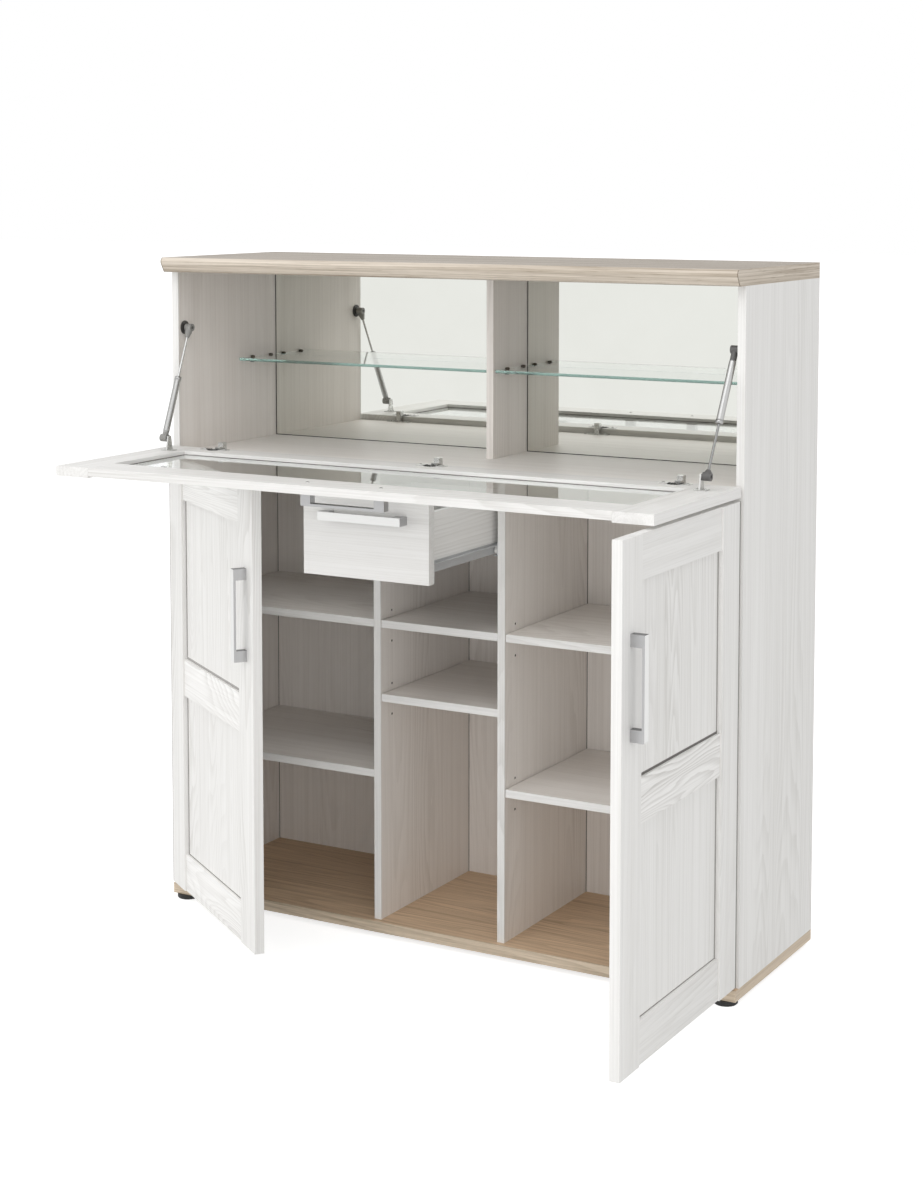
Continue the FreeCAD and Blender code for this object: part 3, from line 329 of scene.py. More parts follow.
def painted_light_handle_metal(name, front, grain, upright):
    """Brushed bow handle: its front has a painted highlight, its flanks are grey and its rear has painted
    shade.

    The upward faces of an upright handle get the painted shade too.
    """
    mat, tree, bsdf = shader(name)
    coords = add(tree, "TexCoord").outputs
    normal = coords["Normal"]
    facing = add(tree, "VectorMath", {0: normal, 1: front}, operation="DOT_PRODUCT").outputs["Value"]
    scale = [BRUSHING["across"]] * 3
    scale[grain] = BRUSHING["along"]
    lines = noise(tree, add(tree, "Mapping", {"Vector": coords["Object"], "Scale": scale}).outputs[0])
    flank = blend_colour(tree, lines, HANDLE_FLANK, darker(HANDLE_FLANK, BRUSHING["flank_worn"]))
    face = blend_colour(tree, lines, HANDLE_FACE_HIGHLIGHT, darker(HANDLE_FACE_HIGHLIGHT, BRUSHING["face_worn"]))
    tone = blend_colour(tree, remap(tree, facing, *HIGHLIGHT_FACING), flank, face)
    tone = blend_colour(tree, remap(tree, facing, *SHADE_FACING, 1.0, 0.0), tone, HANDLE_REAR_SHADE)
    if upright:
        rise = add(tree, "SeparateXYZ", {0: normal}).outputs[Z]
        tone = blend_colour(tree, remap(tree, rise, *UPWARD_SHADE), tone, HANDLE_REAR_SHADE)
    tree.links.new(tone, bsdf.inputs["Base Color"])
    tree.links.new(remap(tree, lines, *CLOUD_LEVELS, *BRUSHING["rough"]), bsdf.inputs["Roughness"])
    bsdf.inputs["Metallic"].default_value = 1.0
    return mat


def stay_metal(name, colour, rough, cap, pivot, reach):
    """Drawn metal with a moulded socket round its pivot."""
    mat, tree, bsdf = shader(name)
    place = object_place(tree)
    far = add(tree, "VectorMath", {0: place, 1: pivot}, operation="DISTANCE").outputs["Value"]
    blur = DRAWN_TUBE["socket_blur"]
    on_metal = remap(tree, far, reach - blur, reach + blur)
    wear = noise(tree, place, scale=DRAWN_TUBE["scale"], **FINE_NOISE)
    bare = blend_colour(tree, wear, colour, darker(colour, DRAWN_TUBE["worn"]))
    moulded = blend_colour(tree, wear, cap, darker(cap, DRAWN_TUBE["worn"]))
    gloss = remap(tree, on_metal, 0.0, 1.0, DRAWN_TUBE["socket_rough"], rough)
    tree.links.new(blend_colour(tree, on_metal, moulded, bare), bsdf.inputs["Base Color"])
    tree.links.new(on_metal, bsdf.inputs["Metallic"])
    tree.links.new(gloss, bsdf.inputs["Roughness"])
    return mat


def plastic(name, colour, rough, scale=MOULD_SCALE):
    """Moulded plastic or powder coat with a fine grained surface."""
    mat, tree, bsdf = shader(name)
    grains = noise(tree, object_place(tree), scale=scale, **FINE_NOISE)
    spread = remap(tree, grains, *MOULDING["levels"])
    tone = blend_colour(tree, spread, colour, darker(colour, MOULDING["worn"]))
    matt = remap(tree, grains, *CLOUD_LEVELS, rough, rough + MOULDING["rough_step"])
    bump = add(tree, "Bump", {"Height": grains, "Strength": MOULDING["bump"], "Distance": MOULDING["depth"]})
    tree.links.new(tone, bsdf.inputs["Base Color"])
    tree.links.new(matt, bsdf.inputs["Roughness"])
    tree.links.new(bump.outputs[0], bsdf.inputs["Normal"])
    return mat


def chipboard(name):
    """Raw board as it shows inside a bored hole."""
    mat, tree, bsdf = shader(name)
    chips = noise(tree, object_place(tree), **CHIP_NOISE)
    tree.links.new(blend_colour(tree, chips, CHIP_LIGHT, CHIP_DARK), bsdf.inputs["Base Color"])
    bsdf.inputs["Roughness"].default_value = CHIP_ROUGH
    return mat


def mirror_glass(name):
    """Silvered glass with a trace of haze."""
    mat, tree, bsdf = shader(name)
    haze = noise(tree, object_place(tree), **HAZE_NOISE)
    tree.links.new(blend_colour(tree, haze, MIRROR_CLEAR, MIRROR_HAZE), bsdf.inputs["Base Color"])
    tree.links.new(remap(tree, haze, *HAZE_LEVELS, 0.0, HAZE_ROUGH), bsdf.inputs["Roughness"])
    bsdf.inputs["Metallic"].default_value = 1.0
    return mat


def clear_glass(name, face, edge):
    """Float glass that lies flat, greener where a cut edge shows."""
    mat, tree, bsdf = shader(name)
    normal = add(tree, "TexCoord").outputs["Normal"]
    rise = math_node(tree, "ABSOLUTE", add(tree, "SeparateXYZ", {0: normal}).outputs[Z])
    on_edge = remap(tree, rise, *FACE_TO_EDGE, 1.0, 0.0)
    tree.links.new(blend_colour(tree, on_edge, face, edge), bsdf.inputs["Base Color"])
    tree.links.new(remap(tree, on_edge, 0.0, 1.0, 0.0, CUT_ROUGH), bsdf.inputs["Roughness"])
    bsdf.inputs["Transmission Weight"].default_value = 1.0
    bsdf.inputs["IOR"].default_value = GLASS_IOR
    return mat


# Finishes of the frame's own nodes
EDGE_SOFT = 0.0007
HANDLE_SOFT = 0.0008
SOFT_SEGMENTS = 2
SOFT_ANGLE = math.radians(40)
WELD_REACH = 0.00001


def dress(name, mat, bevel=0.0):
    """Gives a frame node its material and, where wanted, softened edges."""
    obj = nodes[name]
    obj.data.materials.clear()
    obj.data.materials.append(mat)
    if bevel:
        weld = obj.modifiers.new("weld", "WELD")
        weld.merge_threshold = WELD_REACH
        soft = obj.modifiers.new("soft_edges", "BEVEL")
        soft.width = bevel
        soft.segments = SOFT_SEGMENTS
        soft.limit_method = "ANGLE"
        soft.angle_limit = SOFT_ANGLE


# Boards, by the direction of their grain
CARCASS_GRAINS = {
    Z: ["side_left", "side_right", "bar_divider", "divider_left", "divider_right", "back_panel"],
    X: ["bar_floor", "left_shelves", "middle_shelves", "right_shelves"],
}
LEAF_GRAINS = {
    Z: ["right_door_hinge_stile", "right_door_handle_stile", "right_door_panels",
        "left_door_hinge_stile", "left_door_handle_stile", "left_door_panels"],
    X: ["flap_hinge_rail", "flap_front_rail", "drawer_front", "drawer_back"],
    Y: ["flap_left_stile", "flap_right_stile", "drawer_left_side", "drawer_right_side", "drawer_bottom",
        "right_door_bottom_rail", "right_door_middle_rail", "right_door_top_rail"],
}
FIGURES = {"right_door_middle_rail": 0.5, "right_door_top_rail": 0.26, "right_door_bottom_rail": 0.26,
           "right_door_panels": 0.3, "side_right": 0.17, "bar_floor": 0.1, "drawer_front": 0.26}
PLAIN_FIGURE = 0.24
OAK_FIGURE = 0.3
KINDS = {"right_door_middle_rail": RAIL_PINE, "right_door_panels": PANEL_PINE,
         "left_door_panels": PANEL_PINE, "bar_floor": LIT_FLOOR_PINE, "drawer_front": SHADED_FRONT_PINE}
TOP_SEED = 41
BASE_SEED = 47
TOP_BAND = FRONT - 0.029
BASE_BAND = BASE_FRONT + 0.003

seed = 0
for inside, grains in ((True, CARCASS_GRAINS), (False, LEAF_GRAINS)):
    for grain, names in grains.items():
        for name in names:
            seed += 1
            figure = FIGURES.get(name, PLAIN_FIGURE)
            kind = KINDS.get(name, WHITE_PINE)
            dress(name, wood("pine_" + name, kind, grain, seed, figure, inside=inside), EDGE_SOFT)
LEFT_TURN = math.radians(-JOINTS["left_door_hinge"]["range_deg"][0])
for rail in ("bottom", "middle", "top"):
    seed += 1
    name = "left_door_%s_rail" % rail
    dress(name, wood("pine_" + name, RAIL_PINE, X, seed, PLAIN_FIGURE, LEFT_TURN), EDGE_SOFT)
dress("top_board", wood("oak_top", OAK, X, TOP_SEED, OAK_FIGURE, band=TOP_BAND), EDGE_SOFT)
dress("base_board", wood("oak_base", BASE_OAK, X, BASE_SEED, OAK_FIGURE, band=BASE_BAND), EDGE_SOFT)

# Mirrors, and clear glass that throws no shadow
dress("mirrors", mirror_glass("mirror"))
dress("glass_shelves", clear_glass("shelf_glass", SHELF_FACE, SHELF_EDGE))
dress("flap_glass", clear_glass("pane_glass", PANE_FACE, PANE_EDGE))
for name in ("glass_shelves", "flap_glass"):
    nodes[name].visible_shadow = False

# Handles, hinges, pins, runners and feet
STEEL_ROUGH = 0.26
PIN_ROUGH = 0.35
STUD_ROUGH = 0.4
COAT_ROUGH = 0.35
COAT_SCALE = 1400.0
NYLON_ROUGH = 0.4
FOOT_ROUGH = 0.45
for body, grain in (("right_door", Z), ("left_door", Z), ("flap", X), ("drawer", X)):
    name = body + "_handle"
    front = TO_REST[body].to_3x3() @ Vector((0, -1, 0))
    dress(name, painted_light_handle_metal("nickel_" + name, front, grain, grain == Z), HANDLE_SOFT)
for name in ("right_door_hinge_cups", "left_door_hinge_cups", "flap_hinge_cups", "door_hinge_arms",
             "flap_hinge_arms", "shelf_pins", "flap_stay_brackets"):
    dress(name, metal("steel_" + name, STEEL, STEEL_ROUGH))
dress("glass_shelf_pins", metal("dark_glass_pins", PIN_DARK, PIN_ROUGH))
dress("stay_side_studs", plastic("dark_studs", STUD_DARK, STUD_ROUGH))
for name in ("cabinet_runners", "drawer_runners"):
    dress(name, plastic("coat_" + name, RUNNER_COAT, COAT_ROUGH, COAT_SCALE))
for name in ("front_rollers", "rear_rollers"):
    dress(name, plastic("nylon_" + name, NYLON, NYLON_ROUGH))
dress("feet", plastic("black_feet", BLACK, FOOT_ROUGH))

# Flap stays: the rod is above on the left and below on the right, where its eye fills its box's low corner
EYE_HALF = 0.008
LOW_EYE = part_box("right_stay_rod")[0] + Vector((EYE_HALF, EYE_HALF, EYE_HALF))
STAY_LOW = {side: Vector((sign * LOW_EYE[X], LOW_EYE[Y], LOW_EYE[Z])) for side, sign in SIDES}
STAY_TOP = {side: Vector(JOINTS[side + "_stay_turn"]["pos_m"]) for side, _ in SIDES}
HIGH_SOCKET = 0.0235
LOW_SOCKET = 0.0135
ROD_ROUGH = 0.16
TUBE_ROUGH = 0.3
# The two stays are alike: the right one's rod and sockets take darker tones as painted shade, and its tube a
# lighter tone as painted light
dress("left_stay_rod",
      stay_metal("chrome_left", CHROME, ROD_ROUGH, SOCKET_GREY, STAY_TOP["left"], HIGH_SOCKET))
dress("right_stay_rod",
      stay_metal("chrome_right", CHROME_DARK, ROD_ROUGH, SOCKET_DARK, STAY_LOW["right"], LOW_SOCKET))
dress("left_stay_cylinder",
      stay_metal("tube_left", TUBE_GREY, TUBE_ROUGH, SOCKET_GREY, STAY_LOW["left"], LOW_SOCKET))
dress("right_stay_cylinder",
      stay_metal("tube_right", TUBE_LIGHT, TUBE_ROUGH, SOCKET_DARK, STAY_TOP["right"], HIGH_SOCKET))


# Mesh helpers for the small pieces
def add_box(bm, low, high, move, index=0):
    """Closed block between two corners."""
    corners = [bm.verts.new(move @ Vector((x, y, z)))
               for x in (low[X], high[X]) for y in (low[Y], high[Y]) for z in (low[Z], high[Z])]
    for ring in ((0, 1, 3, 2), (4, 6, 7, 5), (0, 4, 5, 1), (2, 3, 7, 6), (0, 2, 6, 4), (1, 5, 7, 3)):
        bm.faces.new([corners[i] for i in ring]).material_index = index


def add_lathe(bm, outline, move, steps=16):
    """Form turned about the local Z axis from points of radius and height."""
    rings = []
    for radius, height in outline:
        count = steps if radius else 1
        angles = [2 * math.pi * step / steps for step in range(count)]
        rings.append([bm.verts.new(move @ Vector((radius * math.cos(a), radius * math.sin(a), height)))
                      for a in angles])
    for near, far in zip(rings, rings[1:]):
        for step in range(steps):
            after = step + 1
            loop = [near[step % len(near)], near[after % len(near)],
                    far[after % len(far)], far[step % len(far)]]
            bm.faces.new(dict.fromkeys(loop)).smooth = True


def add_rim(bm, low, high, y, proud, width, move):
    """Mitred rim just inside a rectangle of X and Z; it stands proud of the plane at y."""
    loops = []
    for inset in (0.0, width):
        for level in (y, y + proud):
            ring = ((low[0] + inset, low[1] + inset), (high[0] - inset, low[1] + inset),
                    (high[0] - inset, high[1] - inset), (low[0] + inset, high[1] - inset))
            loops.append([bm.verts.new(move @ Vector((x, level, z))) for x, z in ring])
    outer_low, outer_high, inner_low, inner_high = loops
    for one, other in ((outer_low, outer_high), (outer_high, inner_high), (inner_high, inner_low),
                       (inner_low, outer_low)):
        for step in range(4):
            after = (step + 1) % 4
            bm.faces.new((one[step], one[after], other[after], other[step]))


def aim(spot, direction):
    """Move that stands local Z along a direction at a spot."""
    return Matrix.Translation(spot) @ Vector(direction).to_track_quat("Z", "Y").to_matrix().to_4x4()


# Pan head of a screw: height as a share of its diameter, then shares of its radius and height
HEAD_RISE = 0.2
HEAD_OUTLINE = ((1, 0), (1, 0.4), (0.75, 0.85), (0.35, 1), (0, 1))
SLOT_LONG = 0.55
SLOT_THIN = 0.13
SLOT_FROM = 0.5
SLOT_TO = 1.04


def add_screw(bm, spot, direction, dia, move):
    """Pan head with a cross recess, which takes the second material: a dark block as painted shade of the
    recess.
    """
    place = move @ aim(spot, direction)
    radius, rise = dia / 2, dia * HEAD_RISE
    add_lathe(bm, [(radius * out, rise * up) for out, up in HEAD_OUTLINE], place)
    long, thin = radius * SLOT_LONG, radius * SLOT_THIN
    for half_x, half_y in ((long, thin), (thin, long)):
        add_box(bm, (-half_x, -half_y, rise * SLOT_FROM), (half_x, half_y, rise * SLOT_TO), place, 1)


def piece(name, body, mats, build):
    """Makes one mesh piece that rides on a body."""
    mesh = bpy.data.meshes.new(name)
    bm = bmesh.new()
    build(bm)
    bmesh.ops.recalc_face_normals(bm, faces=bm.faces)
    bm.to_mesh(mesh)
    bm.free()
    for mat in mats:
        mesh.materials.append(mat)
    obj = bpy.data.objects.new(name, mesh)
    scene.collection.objects.link(obj)
    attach(obj, body)


# Materials of the small pieces
GAP_ROUGH = 0.7
CLIP_ROUGH = 0.5
SCREW_ROUGH = 0.3
SLOT_ROUGH = 0.6
SEAM_ROUGH = 0.6
DARK_GAP = plastic("dark_gap", GAP_DARK, GAP_ROUGH)
SOFT_GAP = plastic("soft_gap", GAP_SOFT, GAP_ROUGH)
DEEP_SHADE = plastic("deep_shade", SHADE_DEEP, GAP_ROUGH)
SIDE_SHADE = plastic("side_shade", SHADE_SIDE, GAP_ROUGH)
COLLAR_METAL = metal("collar_metal", TUBE_GREY, TUBE_ROUGH)
CLIP_DARK = plastic("clip_dark", CLIP_BROWN, CLIP_ROUGH)
SCREW_HEAD = metal("screw_head", STEEL, SCREW_ROUGH)
# Dark cross recess of the screw heads, as painted shade
SCREW_SLOT_SHADE = plastic("screw_slot_shade", SLOT_SHADE, SLOT_ROUGH)
SCREW_MATS = [SCREW_HEAD, SCREW_SLOT_SHADE]

# Dark rim round each mirror: its ground edge, and painted shade in the gap at its edge
MIRROR_GAP = 0.001
MIRROR_LIFT = 0.0002
MIRROR_RIM = 0.0016
MIRROR_PROUD = 0.0004


def mirror_rims(bm):
    low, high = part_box("mirrors")
    half_wall = BAR_WALL + MIRROR_GAP
    for x_low, x_high in ((low[X], -half_wall), (half_wall, high[X])):
        add_rim(bm, (x_low, low[Z] + MIRROR_LIFT), (x_high, high[Z]), low[Y], -MIRROR_PROUD, MIRROR_RIM,
                TO_REST["carcass"])


piece("mirror_rims", "carcass", [DARK_GAP], mirror_rims)

# Upper jaws of the pins that hold the glass shelves
CLIP_OUT = 0.0052
GLASS_PIN_RADIUS = 0.003
CLIP_OUTLINE = ((0.0050, 0), (0.0050, 0.0018), (0.0030, 0.0032), (0, 0.0035))
SMALL_ROUND = 14


def shelf_clips(bm):
    glass_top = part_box("glass_shelves")[1][Z]
    pins_low, pins_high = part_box("glass_shelf_pins")
    for x, way in ((-SIDE_IN, 1), (-BAR_WALL, -1), (BAR_WALL, 1), (SIDE_IN, -1)):
        for y in (pins_low[Y] + GLASS_PIN_RADIUS, pins_high[Y] - GLASS_PIN_RADIUS):
            add_lathe(bm, CLIP_OUTLINE, aim((x + way * CLIP_OUT, y, glass_top), (0, 0, 1)), SMALL_ROUND)


piece("shelf_clips", "carcass", [CLIP_DARK], shelf_clips)

# Bored holes above and below each front shelf pin, lined with raw board
PIN_FRONT = FRONT + 0.045
PIN_STEP = 0.032
PIN_RADIUS = 0.0025
HOLE_DEPTH = 0.0068
LINER_IN = 0.0002
WALL_IN, WALL_OUT = (corner[X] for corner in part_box("divider_right"))
COLUMNS = {"left": (-SIDE_IN, -WALL_OUT), "middle": (-WALL_IN, WALL_IN), "right": (WALL_OUT, SIDE_IN)}


def hole_liners(bm):
    liner = [(PIN_RADIUS, 0), (PIN_RADIUS, HOLE_DEPTH), (0, HOLE_DEPTH)]
    for column, (x_low, x_high) in COLUMNS.items():
        low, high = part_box(column + "_shelves")
        for under in (low[Z], high[Z] - BOARD):
            for rise in (-PIN_STEP, PIN_STEP):
                for x, way in ((x_low, -1), (x_high, 1)):
                    spot = (x + way * LINER_IN, PIN_FRONT, under - PIN_RADIUS + rise)
                    add_lathe(bm, liner, aim(spot, (way, 0, 0)), SMALL_ROUND)


piece("hole_liners", "carcass", [chipboard("raw_board")], hole_liners)

# Shadow joints where the back panel meets the upright boards
CORNER_WIDE = 0.0013
CORNER_PROUD = 0.0003


def corner_joints(bm):
    for x_low, x_high in COLUMNS.values():
        for x, way in ((x_low, 1), (x_high, -1)):
            ends = sorted((x, x + way * CORNER_WIDE))
            add_box(bm, (ends[0], REAR - CORNER_PROUD, BASE_TOP), (ends[1], REAR, FLOOR_UNDER),
                    TO_REST["carcass"])


piece("corner_joints", "carcass", [DARK_GAP], corner_joints)

# Doors: shadow joint round each panel, with wider strips where the photographed light leaves a shadow
HINGE_STILE = closed_box("right_door_hinge_stile", "right_door")
HANDLE_STILE = closed_box("right_door_handle_stile", "right_door")
BOTTOM_RAIL, MIDDLE_RAIL, TOP_RAIL = (closed_box("right_door_%s_rail" % rail, "right_door")
                                      for rail in ("bottom", "middle", "top"))
PANEL_FIELDS = ((BOTTOM_RAIL[1][Z], MIDDLE_RAIL[0][Z]), (MIDDLE_RAIL[1][Z], TOP_RAIL[0][Z]))
PANEL_FACE = closed_box("right_door_panels", "right_door")[0][Y]
FACE_IN = HANDLE_STILE[1][Y]
JOINT_WIDE = 0.0014
JOINT_PROUD = 0.0003
# Painted shadow strips: how proud they stand, and their width beside the hinge stile, above the middle rail
# and along the hinge edge
SHADOW_PROUD = 0.0002
STILE_SHADOW_WIDE = 0.005
RAIL_SHADOW_TALL = 0.0045
HINGE_SHADOW_WIDE = 0.0035


def panel_joints(side, sign):
    move = TO_REST[side + "_door"]

    def mirrored(*places):
        return sorted(sign * place for place in places)

    def strip(bm, ends, face, proud, levels, index):
        add_box(bm, (ends[0], face - proud, levels[0]), (ends[1], face, levels[1]), move, index)

    def build(bm):
        field = mirrored(HANDLE_STILE[1][X], HINGE_STILE[0][X])
        beside_stile = mirrored(HINGE_STILE[0][X], HINGE_STILE[0][X] - STILE_SHADOW_WIDE)
        for levels in PANEL_FIELDS:
            add_rim(bm, (field[0], levels[0]), (field[1], levels[1]), PANEL_FACE, -JOINT_PROUD, JOINT_WIDE,
                    move)
            strip(bm, beside_stile, PANEL_FACE, SHADOW_PROUD, levels, 1)
        above_rail = PANEL_FIELDS[1][0]
        strip(bm, field, PANEL_FACE, 2 * SHADOW_PROUD, (above_rail, above_rail + RAIL_SHADOW_TALL), 2)
        hinge_edge = mirrored(HINGE_STILE[1][X] - EDGE_SOFT, HINGE_STILE[1][X] - HINGE_SHADOW_WIDE)
        stile_levels = (HINGE_STILE[0][Z], HINGE_STILE[1][Z])
        strip(bm, hinge_edge, HINGE_STILE[0][Y], SHADOW_PROUD, stile_levels, 2)
    # Painted shadow above the middle rail and along the hinge edge: soft on the left door, deep on the right
    lip = {"left": SIDE_SHADE, "right": DEEP_SHADE}[side]
    piece(side + "_panel_joints", side + "_door", [SOFT_GAP, SIDE_SHADE, lip], build)


# Seal between the flap's pane and its frame
SEAL_WIDE = 0.0016
SEAL_PROUD = 0.0008


def pane_seal(bm):
    hinge_rail = closed_box("flap_hinge_rail", "flap")
    front_rail = closed_box("flap_front_rail", "flap")
    pane = closed_box("flap_glass", "flap")
    add_rim(bm, (hinge_rail[0][X], hinge_rail[1][Z]), (hinge_rail[1][X], front_rail[0][Z]), pane[1][Y],
            SEAL_PROUD, SEAL_WIDE, TO_REST["flap"])


piece("pane_seal", "flap", [SOFT_GAP], pane_seal)

# Screws: handles from behind, hinge cups and arms, plates of the flap's hinges and stay brackets
HANDLE_SCREW = 0.081
HANDLE_SCREW_DIA = 0.0085
HINGE_SCREW_DIA = 0.0075
PLATE_SCREW_DIA = 0.006
CUP_IN = 0.0205
CUP_SCREW = 0.025
WING_THICK = 0.0012
DOOR_HINGE_END = 0.100
DOOR_LOW, DOOR_HIGH = HINGE_STILE[0][Z], HINGE_STILE[1][Z]
DOOR_HINGES = (DOOR_LOW + DOOR_HINGE_END, (DOOR_LOW + DOOR_HIGH) / 2, DOOR_HIGH - DOOR_HINGE_END)
ARM_FACE = HINGE_STILE[1][X] - 0.028
ARM_SCREWS = (FRONT + 0.018, FRONT + 0.046)
PLATE_HALF = 0.030
PLATE_THICK = 0.002
PLATE_SCREW = 0.020
PLATE_SCREW_PLACE = FRONT + 0.0063
FLAP_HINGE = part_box("flap_hinge_arms")[1][X] - PLATE_HALF
FLAP_HINGES = (-FLAP_HINGE, 0.0, FLAP_HINGE)
BRACKET_SCREWS_IN = (0.0045, 0.0215)


def handle_screws(bm, body, centre, along):
    for way in (-HANDLE_SCREW, HANDLE_SCREW):
        add_screw(bm, centre + Vector(along) * way, (0, 1, 0), HANDLE_SCREW_DIA, TO_REST[body])


def door_screws(side, sign):
    body = side + "_door"
    handle_low, handle_high = closed_box("right_door_handle", "right_door")

    def build(bm):
        centre = (handle_low + handle_high) / 2
        handle_screws(bm, body, Vector((sign * centre[X], FACE_IN, centre[Z])), (0, 0, 1))
        for level in DOOR_HINGES:
            for way in (-CUP_SCREW, CUP_SCREW):
                spot = Vector((sign * (HINGE_STILE[1][X] - CUP_IN), FACE_IN + WING_THICK, level + way))
                add_screw(bm, spot, (0, 1, 0), HINGE_SCREW_DIA, TO_REST[body])
    piece(body + "_screws", body, SCREW_MATS, build)


for side, sign in SIDES:
    panel_joints(side, sign)
    door_screws(side, sign)


def flap_screws(bm):
    low, high = closed_box("flap_handle", "flap")
    handle_screws(bm, "flap", Vector((0, FACE_IN, (low[Z] + high[Z]) / 2)), (1, 0, 0))
    hinge_edge = closed_box("flap_hinge_rail", "flap")[0][Z]
    for x in FLAP_HINGES:
        for way in (-CUP_SCREW, CUP_SCREW):
            spot = Vector((x + way, FACE_IN + WING_THICK, hinge_edge + CUP_IN))
            add_screw(bm, spot, (0, 1, 0), HINGE_SCREW_DIA, TO_REST["flap"])
    # The stay brackets are read where they stand at rest, so their screws need no move
    foot_low, foot_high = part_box("flap_stay_brackets")
    middle = (foot_low[Y] + foot_high[Y]) / 2
    for _, sign in SIDES:
        for inward in BRACKET_SCREWS_IN:
            spot = Vector((sign * (foot_high[X] - inward), middle, foot_low[Z] + PLATE_THICK))
            add_screw(bm, spot, (0, 0, 1), PLATE_SCREW_DIA, TO_REST["carcass"])


def drawer_screws(bm):
    low, high = closed_box("drawer_handle", "drawer")
    handle_screws(bm, "drawer", Vector((0, FACE_IN, (low[Z] + high[Z]) / 2)), (1, 0, 0))


def carcass_screws(bm):
    """Screws of the hinge arms on the side panels and of the hinge plates on the bar floor."""
    for _, sign in SIDES:
        for level in DOOR_HINGES:
            for y in ARM_SCREWS:
                spot = Vector((sign * ARM_FACE, y, level))
                add_screw(bm, spot, (-sign, 0, 0), HINGE_SCREW_DIA, TO_REST["carcass"])
    for x in FLAP_HINGES:
        for way in (-PLATE_SCREW, PLATE_SCREW):
            spot = Vector((x + way, PLATE_SCREW_PLACE, FLOOR_TOP + PLATE_THICK))
            add_screw(bm, spot, (0, 0, 1), PLATE_SCREW_DIA, TO_REST["carcass"])


piece("flap_screws", "flap", SCREW_MATS, flap_screws)
piece("drawer_screws", "drawer", SCREW_MATS, drawer_screws)
piece("carcass_screws", "carcass", SCREW_MATS, carcass_screws)

# Nails in the back panel: behind the dividers and the bar floor, and near its upper and lower edge
NAIL_PITCH = 0.118
NAIL_OUTLINE = ((0.003, 0), (0.0028, 0.0005), (0.0012, 0.0009), (0, 0.0009))
NAIL_ROUND = 12
NAIL_IN = 0.012
NAIL_LEVELS = (FLOOR_TOP - BOARD / 2, TOP_UNDER - NAIL_IN, BASE_TOP + NAIL_IN)
WALL_MIDDLE = (WALL_IN + WALL_OUT) / 2


def nail_row(start, end):
    """Places one pitch apart, the first of them half a pitch from the start."""
    return [start + NAIL_PITCH * (step + 0.5) for step in range(int((end - start) / NAIL_PITCH))]


def back_nails(bm):
    low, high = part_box("back_panel")
    spots = [(x, z) for x in (-WALL_MIDDLE, WALL_MIDDLE) for z in nail_row(low[Z], FLOOR_TOP)]
    spots += [(x, z) for x in nail_row(low[X], high[X]) for z in NAIL_LEVELS]
    for x, z in spots:
        add_lathe(bm, NAIL_OUTLINE, aim((x, BACK_OUT, z), (0, 1, 0)), NAIL_ROUND)


piece("back_nails", "carcass", [SCREW_HEAD], back_nails)

# Seam of the end band on the top board's nose
NOSE_ROUND = 0.009
TOP_OVER = 0.046
TOP_LOW = 0.028
SEAM_IN = 0.0006
SEAM_WIDE = 0.0011
SEAM_PROUD = 0.0002
SEAM_LAST = math.radians(106)
SEAM_STEPS = 6


def nose_line():
    """Points of depth and height along the nose, from its lower corner up and round to the top face."""
    corner = Vector((FRONT - TOP_OVER, TOP_FACE))
    lower = Vector((FRONT - TOP_LOW, TOP_UNDER))
    slope = math.atan2(corner[1] - lower[1], lower[0] - corner[0])
    centre = Vector((corner[0] + NOSE_ROUND / math.tan(slope / 2), corner[1] - NOSE_ROUND))
    first = math.pi / 2 + (math.pi - slope)
    arc = [first + (SEAM_LAST - first) * step / SEAM_STEPS for step in range(SEAM_STEPS + 1)]
    reach = NOSE_ROUND + SEAM_PROUD
    return [lower - Vector((SEAM_PROUD, 0))] + [
        centre + Vector((math.cos(a), math.sin(a))) * reach for a in arc]


def top_seams(bm):
    line = nose_line()
    for _, sign in SIDES:
        ends = [sign * (SIDE_OUT - SEAM_IN), sign * (SIDE_OUT - SEAM_IN - SEAM_WIDE)]
        rows = [[bm.verts.new((x, y, z)) for y, z in line] for x in ends]
        for step in range(len(line) - 1):
            bm.faces.new((rows[0][step], rows[0][step + 1], rows[1][step + 1], rows[1][step]))


piece("top_seams", "carcass", [plastic("oak_seam", SEAM_BROWN, SEAM_ROUGH)], top_seams)

# Collar at the mouth of each stay cylinder; its outline has points of radius and height
TUBE_RADIUS = 0.00675
TUBE_LEN = 0.1225
CAP_LENGTHS = {"left": 0.013, "right": 0.023}
COLLAR_LEN = 0.007
COLLAR_RADIUS = TUBE_RADIUS + 0.0006
COLLAR_END = 0.0082
COLLAR_BORE = 0.0028
COLLAR_ROUND = 24
COLLAR_OUTLINE = ((TUBE_RADIUS - 0.001, 0), (COLLAR_RADIUS, 0.0004), (COLLAR_RADIUS, COLLAR_LEN),
                  (COLLAR_RADIUS - 0.0014, COLLAR_END), (COLLAR_BORE, COLLAR_END), (COLLAR_BORE, 0.004))


def stay_collar(side, body, start, end):
    def build(bm):
        mouth = CAP_LENGTHS[side] + TUBE_LEN
        place = aim(start, end - start) @ Matrix.Translation((0, 0, mouth - COLLAR_LEN))
        add_lathe(bm, COLLAR_OUTLINE, place, COLLAR_ROUND)
    piece(side + "_stay_collar", body, [COLLAR_METAL], build)


stay_collar("left", "left_stay_lower", STAY_LOW["left"], STAY_TOP["left"])
stay_collar("right", "right_stay_upper", STAY_TOP["right"], STAY_LOW["right"])

# Floor, light and camera
WHITE = (1, 1, 1, 1)
FLOOR_TONE = (0.6, 0.6, 0.595, 1)
FLOOR_REACH = 40.0
FLOOR_GLOW = 0.75
MIRRORED_GLOW = 0.52
WORLD_LIGHT = 0.78


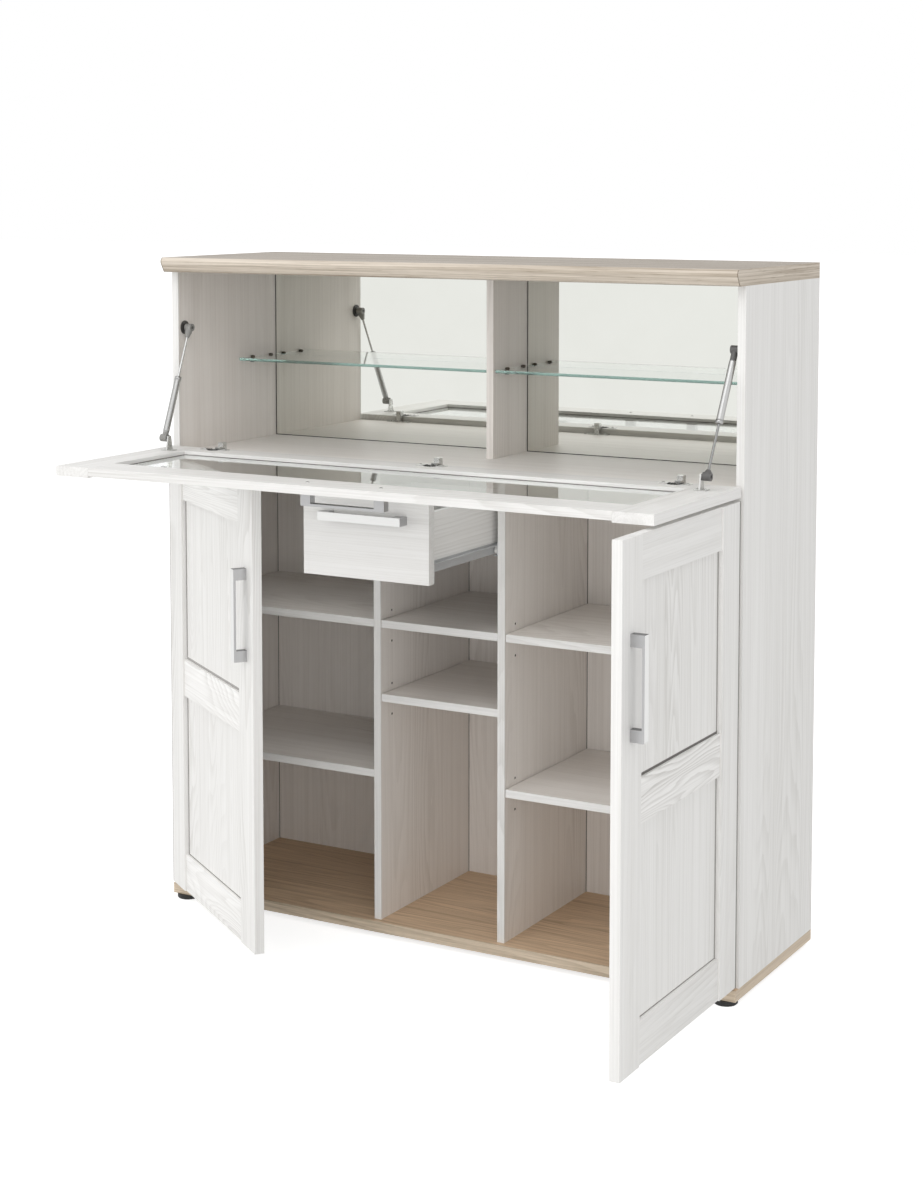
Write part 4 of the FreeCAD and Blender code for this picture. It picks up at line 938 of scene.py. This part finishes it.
def studio_floor():
    """Pale floor: it glows white to the camera, less so in reflections, and keeps the object's shadow."""
    mesh = bpy.data.meshes.new("studio_floor")
    corners = [(x * FLOOR_REACH, y * FLOOR_REACH, 0) for x, y in ((-1, -1), (1, -1), (1, 1), (-1, 1))]
    mesh.from_pydata(corners, [], [(0, 1, 2, 3)])
    floor = bpy.data.objects.new("studio_floor", mesh)
    scene.collection.objects.link(floor)
    mat, tree, bsdf = shader("studio_floor")
    tree.nodes.remove(bsdf)
    path = add(tree, "LightPath").outputs
    direct = math_node(tree, "MAXIMUM", path["Is Camera Ray"], path["Is Transmission Ray"])
    strength = math_node(tree, "MAXIMUM", math_node(tree, "MULTIPLY", direct, FLOOR_GLOW),
                         math_node(tree, "MULTIPLY", path["Is Glossy Ray"], MIRRORED_GLOW))
    glow = add(tree, "Emission", {"Color": WHITE, "Strength": strength})
    matt = add(tree, "BsdfDiffuse", {"Color": FLOOR_TONE})
    both = add(tree, "AddShader", {0: glow.outputs[0], 1: matt.outputs[0]})
    tree.links.new(both.outputs[0], tree.nodes["Material Output"].inputs["Surface"])
    mesh.materials.append(mat)


def studio_world():
    """White surroundings: full white where they are seen, straight, by reflection or through glass."""
    world = bpy.data.worlds.new("studio")
    scene.world = world
    world.use_nodes = True
    tree = world.node_tree
    path = add(tree, "LightPath").outputs
    seen = math_node(tree, "MAXIMUM", path["Is Camera Ray"], path["Is Glossy Ray"])
    seen = math_node(tree, "MAXIMUM", seen, path["Is Transmission Ray"])
    back = tree.nodes["Background"]
    back.inputs["Color"].default_value = WHITE
    tree.links.new(remap(tree, seen, 0.0, 1.0, WORLD_LIGHT, 1.0), back.inputs["Strength"])


# Lamps, in metres and watts; those that aren't mirrored stay out of mirrors and gloss
LAMPS = {
    "key": {"place": (-2.6, -4.6, 3.2), "target": (0, 0, 0.8), "size": (3.0, 2.4), "power": 25},
    "left": {"place": (-4.4, -2.6, 1.0), "target": (-0.5, -0.3, 0.6), "size": (2.4, 1.8), "power": 40,
             "mirrored": False},
    "low_front": {"place": (1.3, -3.4, 0.45), "target": (0, 0, 0.5), "size": (2.0, 0.6), "power": 13,
                  "mirrored": False},
    "front_right": {"place": (3.4, -4.2, 1.1), "target": (0, -0.1, 0.6), "size": (1.6, 1.6), "power": 15},
    "right": {"place": (5.0, -1.8, 1.6), "target": (0.6, -0.3, 0.7), "size": (3.0, 3.0), "power": 14},
    "top": {"place": (0.3, -2.3, 4.3), "target": (0, -0.2, 0.8), "size": (3.6, 2.6), "power": 40},
}


def softbox(name, place, target, size, power, mirrored=True):
    """Soft rectangular lamp that looks at a target."""
    light = bpy.data.lights.new(name, "AREA")
    light.shape = "RECTANGLE"
    light.size, light.size_y = size
    light.energy = power
    lamp = bpy.data.objects.new(name, light)
    lamp.location = place
    lamp.visible_glossy = mirrored
    lamp.rotation_euler = (Vector(target) - Vector(place)).to_track_quat("-Z", "Y").to_euler()
    scene.collection.objects.link(lamp)


# Camera fitted to the photograph: pixels of its frame, metres and degrees
PHOTO_WIDE, PHOTO_TALL = 923, 1200
FOCAL_PX = 2199.6
CENTRE_PX = (456.7, 360.0)
CAMERA_PLACE = (2.1866, -3.9671, 1.5528)
CAMERA_TURN = 29.590
CAMERA_DIP = 4.676
SENSOR_TALL = 36.0


def photo_camera():
    data = bpy.data.cameras.new("photo_camera")
    data.sensor_fit = "VERTICAL"
    data.sensor_height = SENSOR_TALL
    data.lens = SENSOR_TALL * FOCAL_PX / PHOTO_TALL
    data.shift_x = (PHOTO_WIDE / 2 - CENTRE_PX[0]) / PHOTO_TALL
    data.shift_y = (CENTRE_PX[1] - PHOTO_TALL / 2) / PHOTO_TALL
    camera = bpy.data.objects.new("photo_camera", data)
    camera.location = CAMERA_PLACE
    camera.rotation_euler = (math.radians(90 - CAMERA_DIP), 0, math.radians(CAMERA_TURN))
    scene.collection.objects.link(camera)
    scene.camera = camera


studio_floor()
studio_world()
for name, lamp in LAMPS.items():
    softbox(name, **lamp)
photo_camera()
scene.view_settings.view_transform = "Standard"
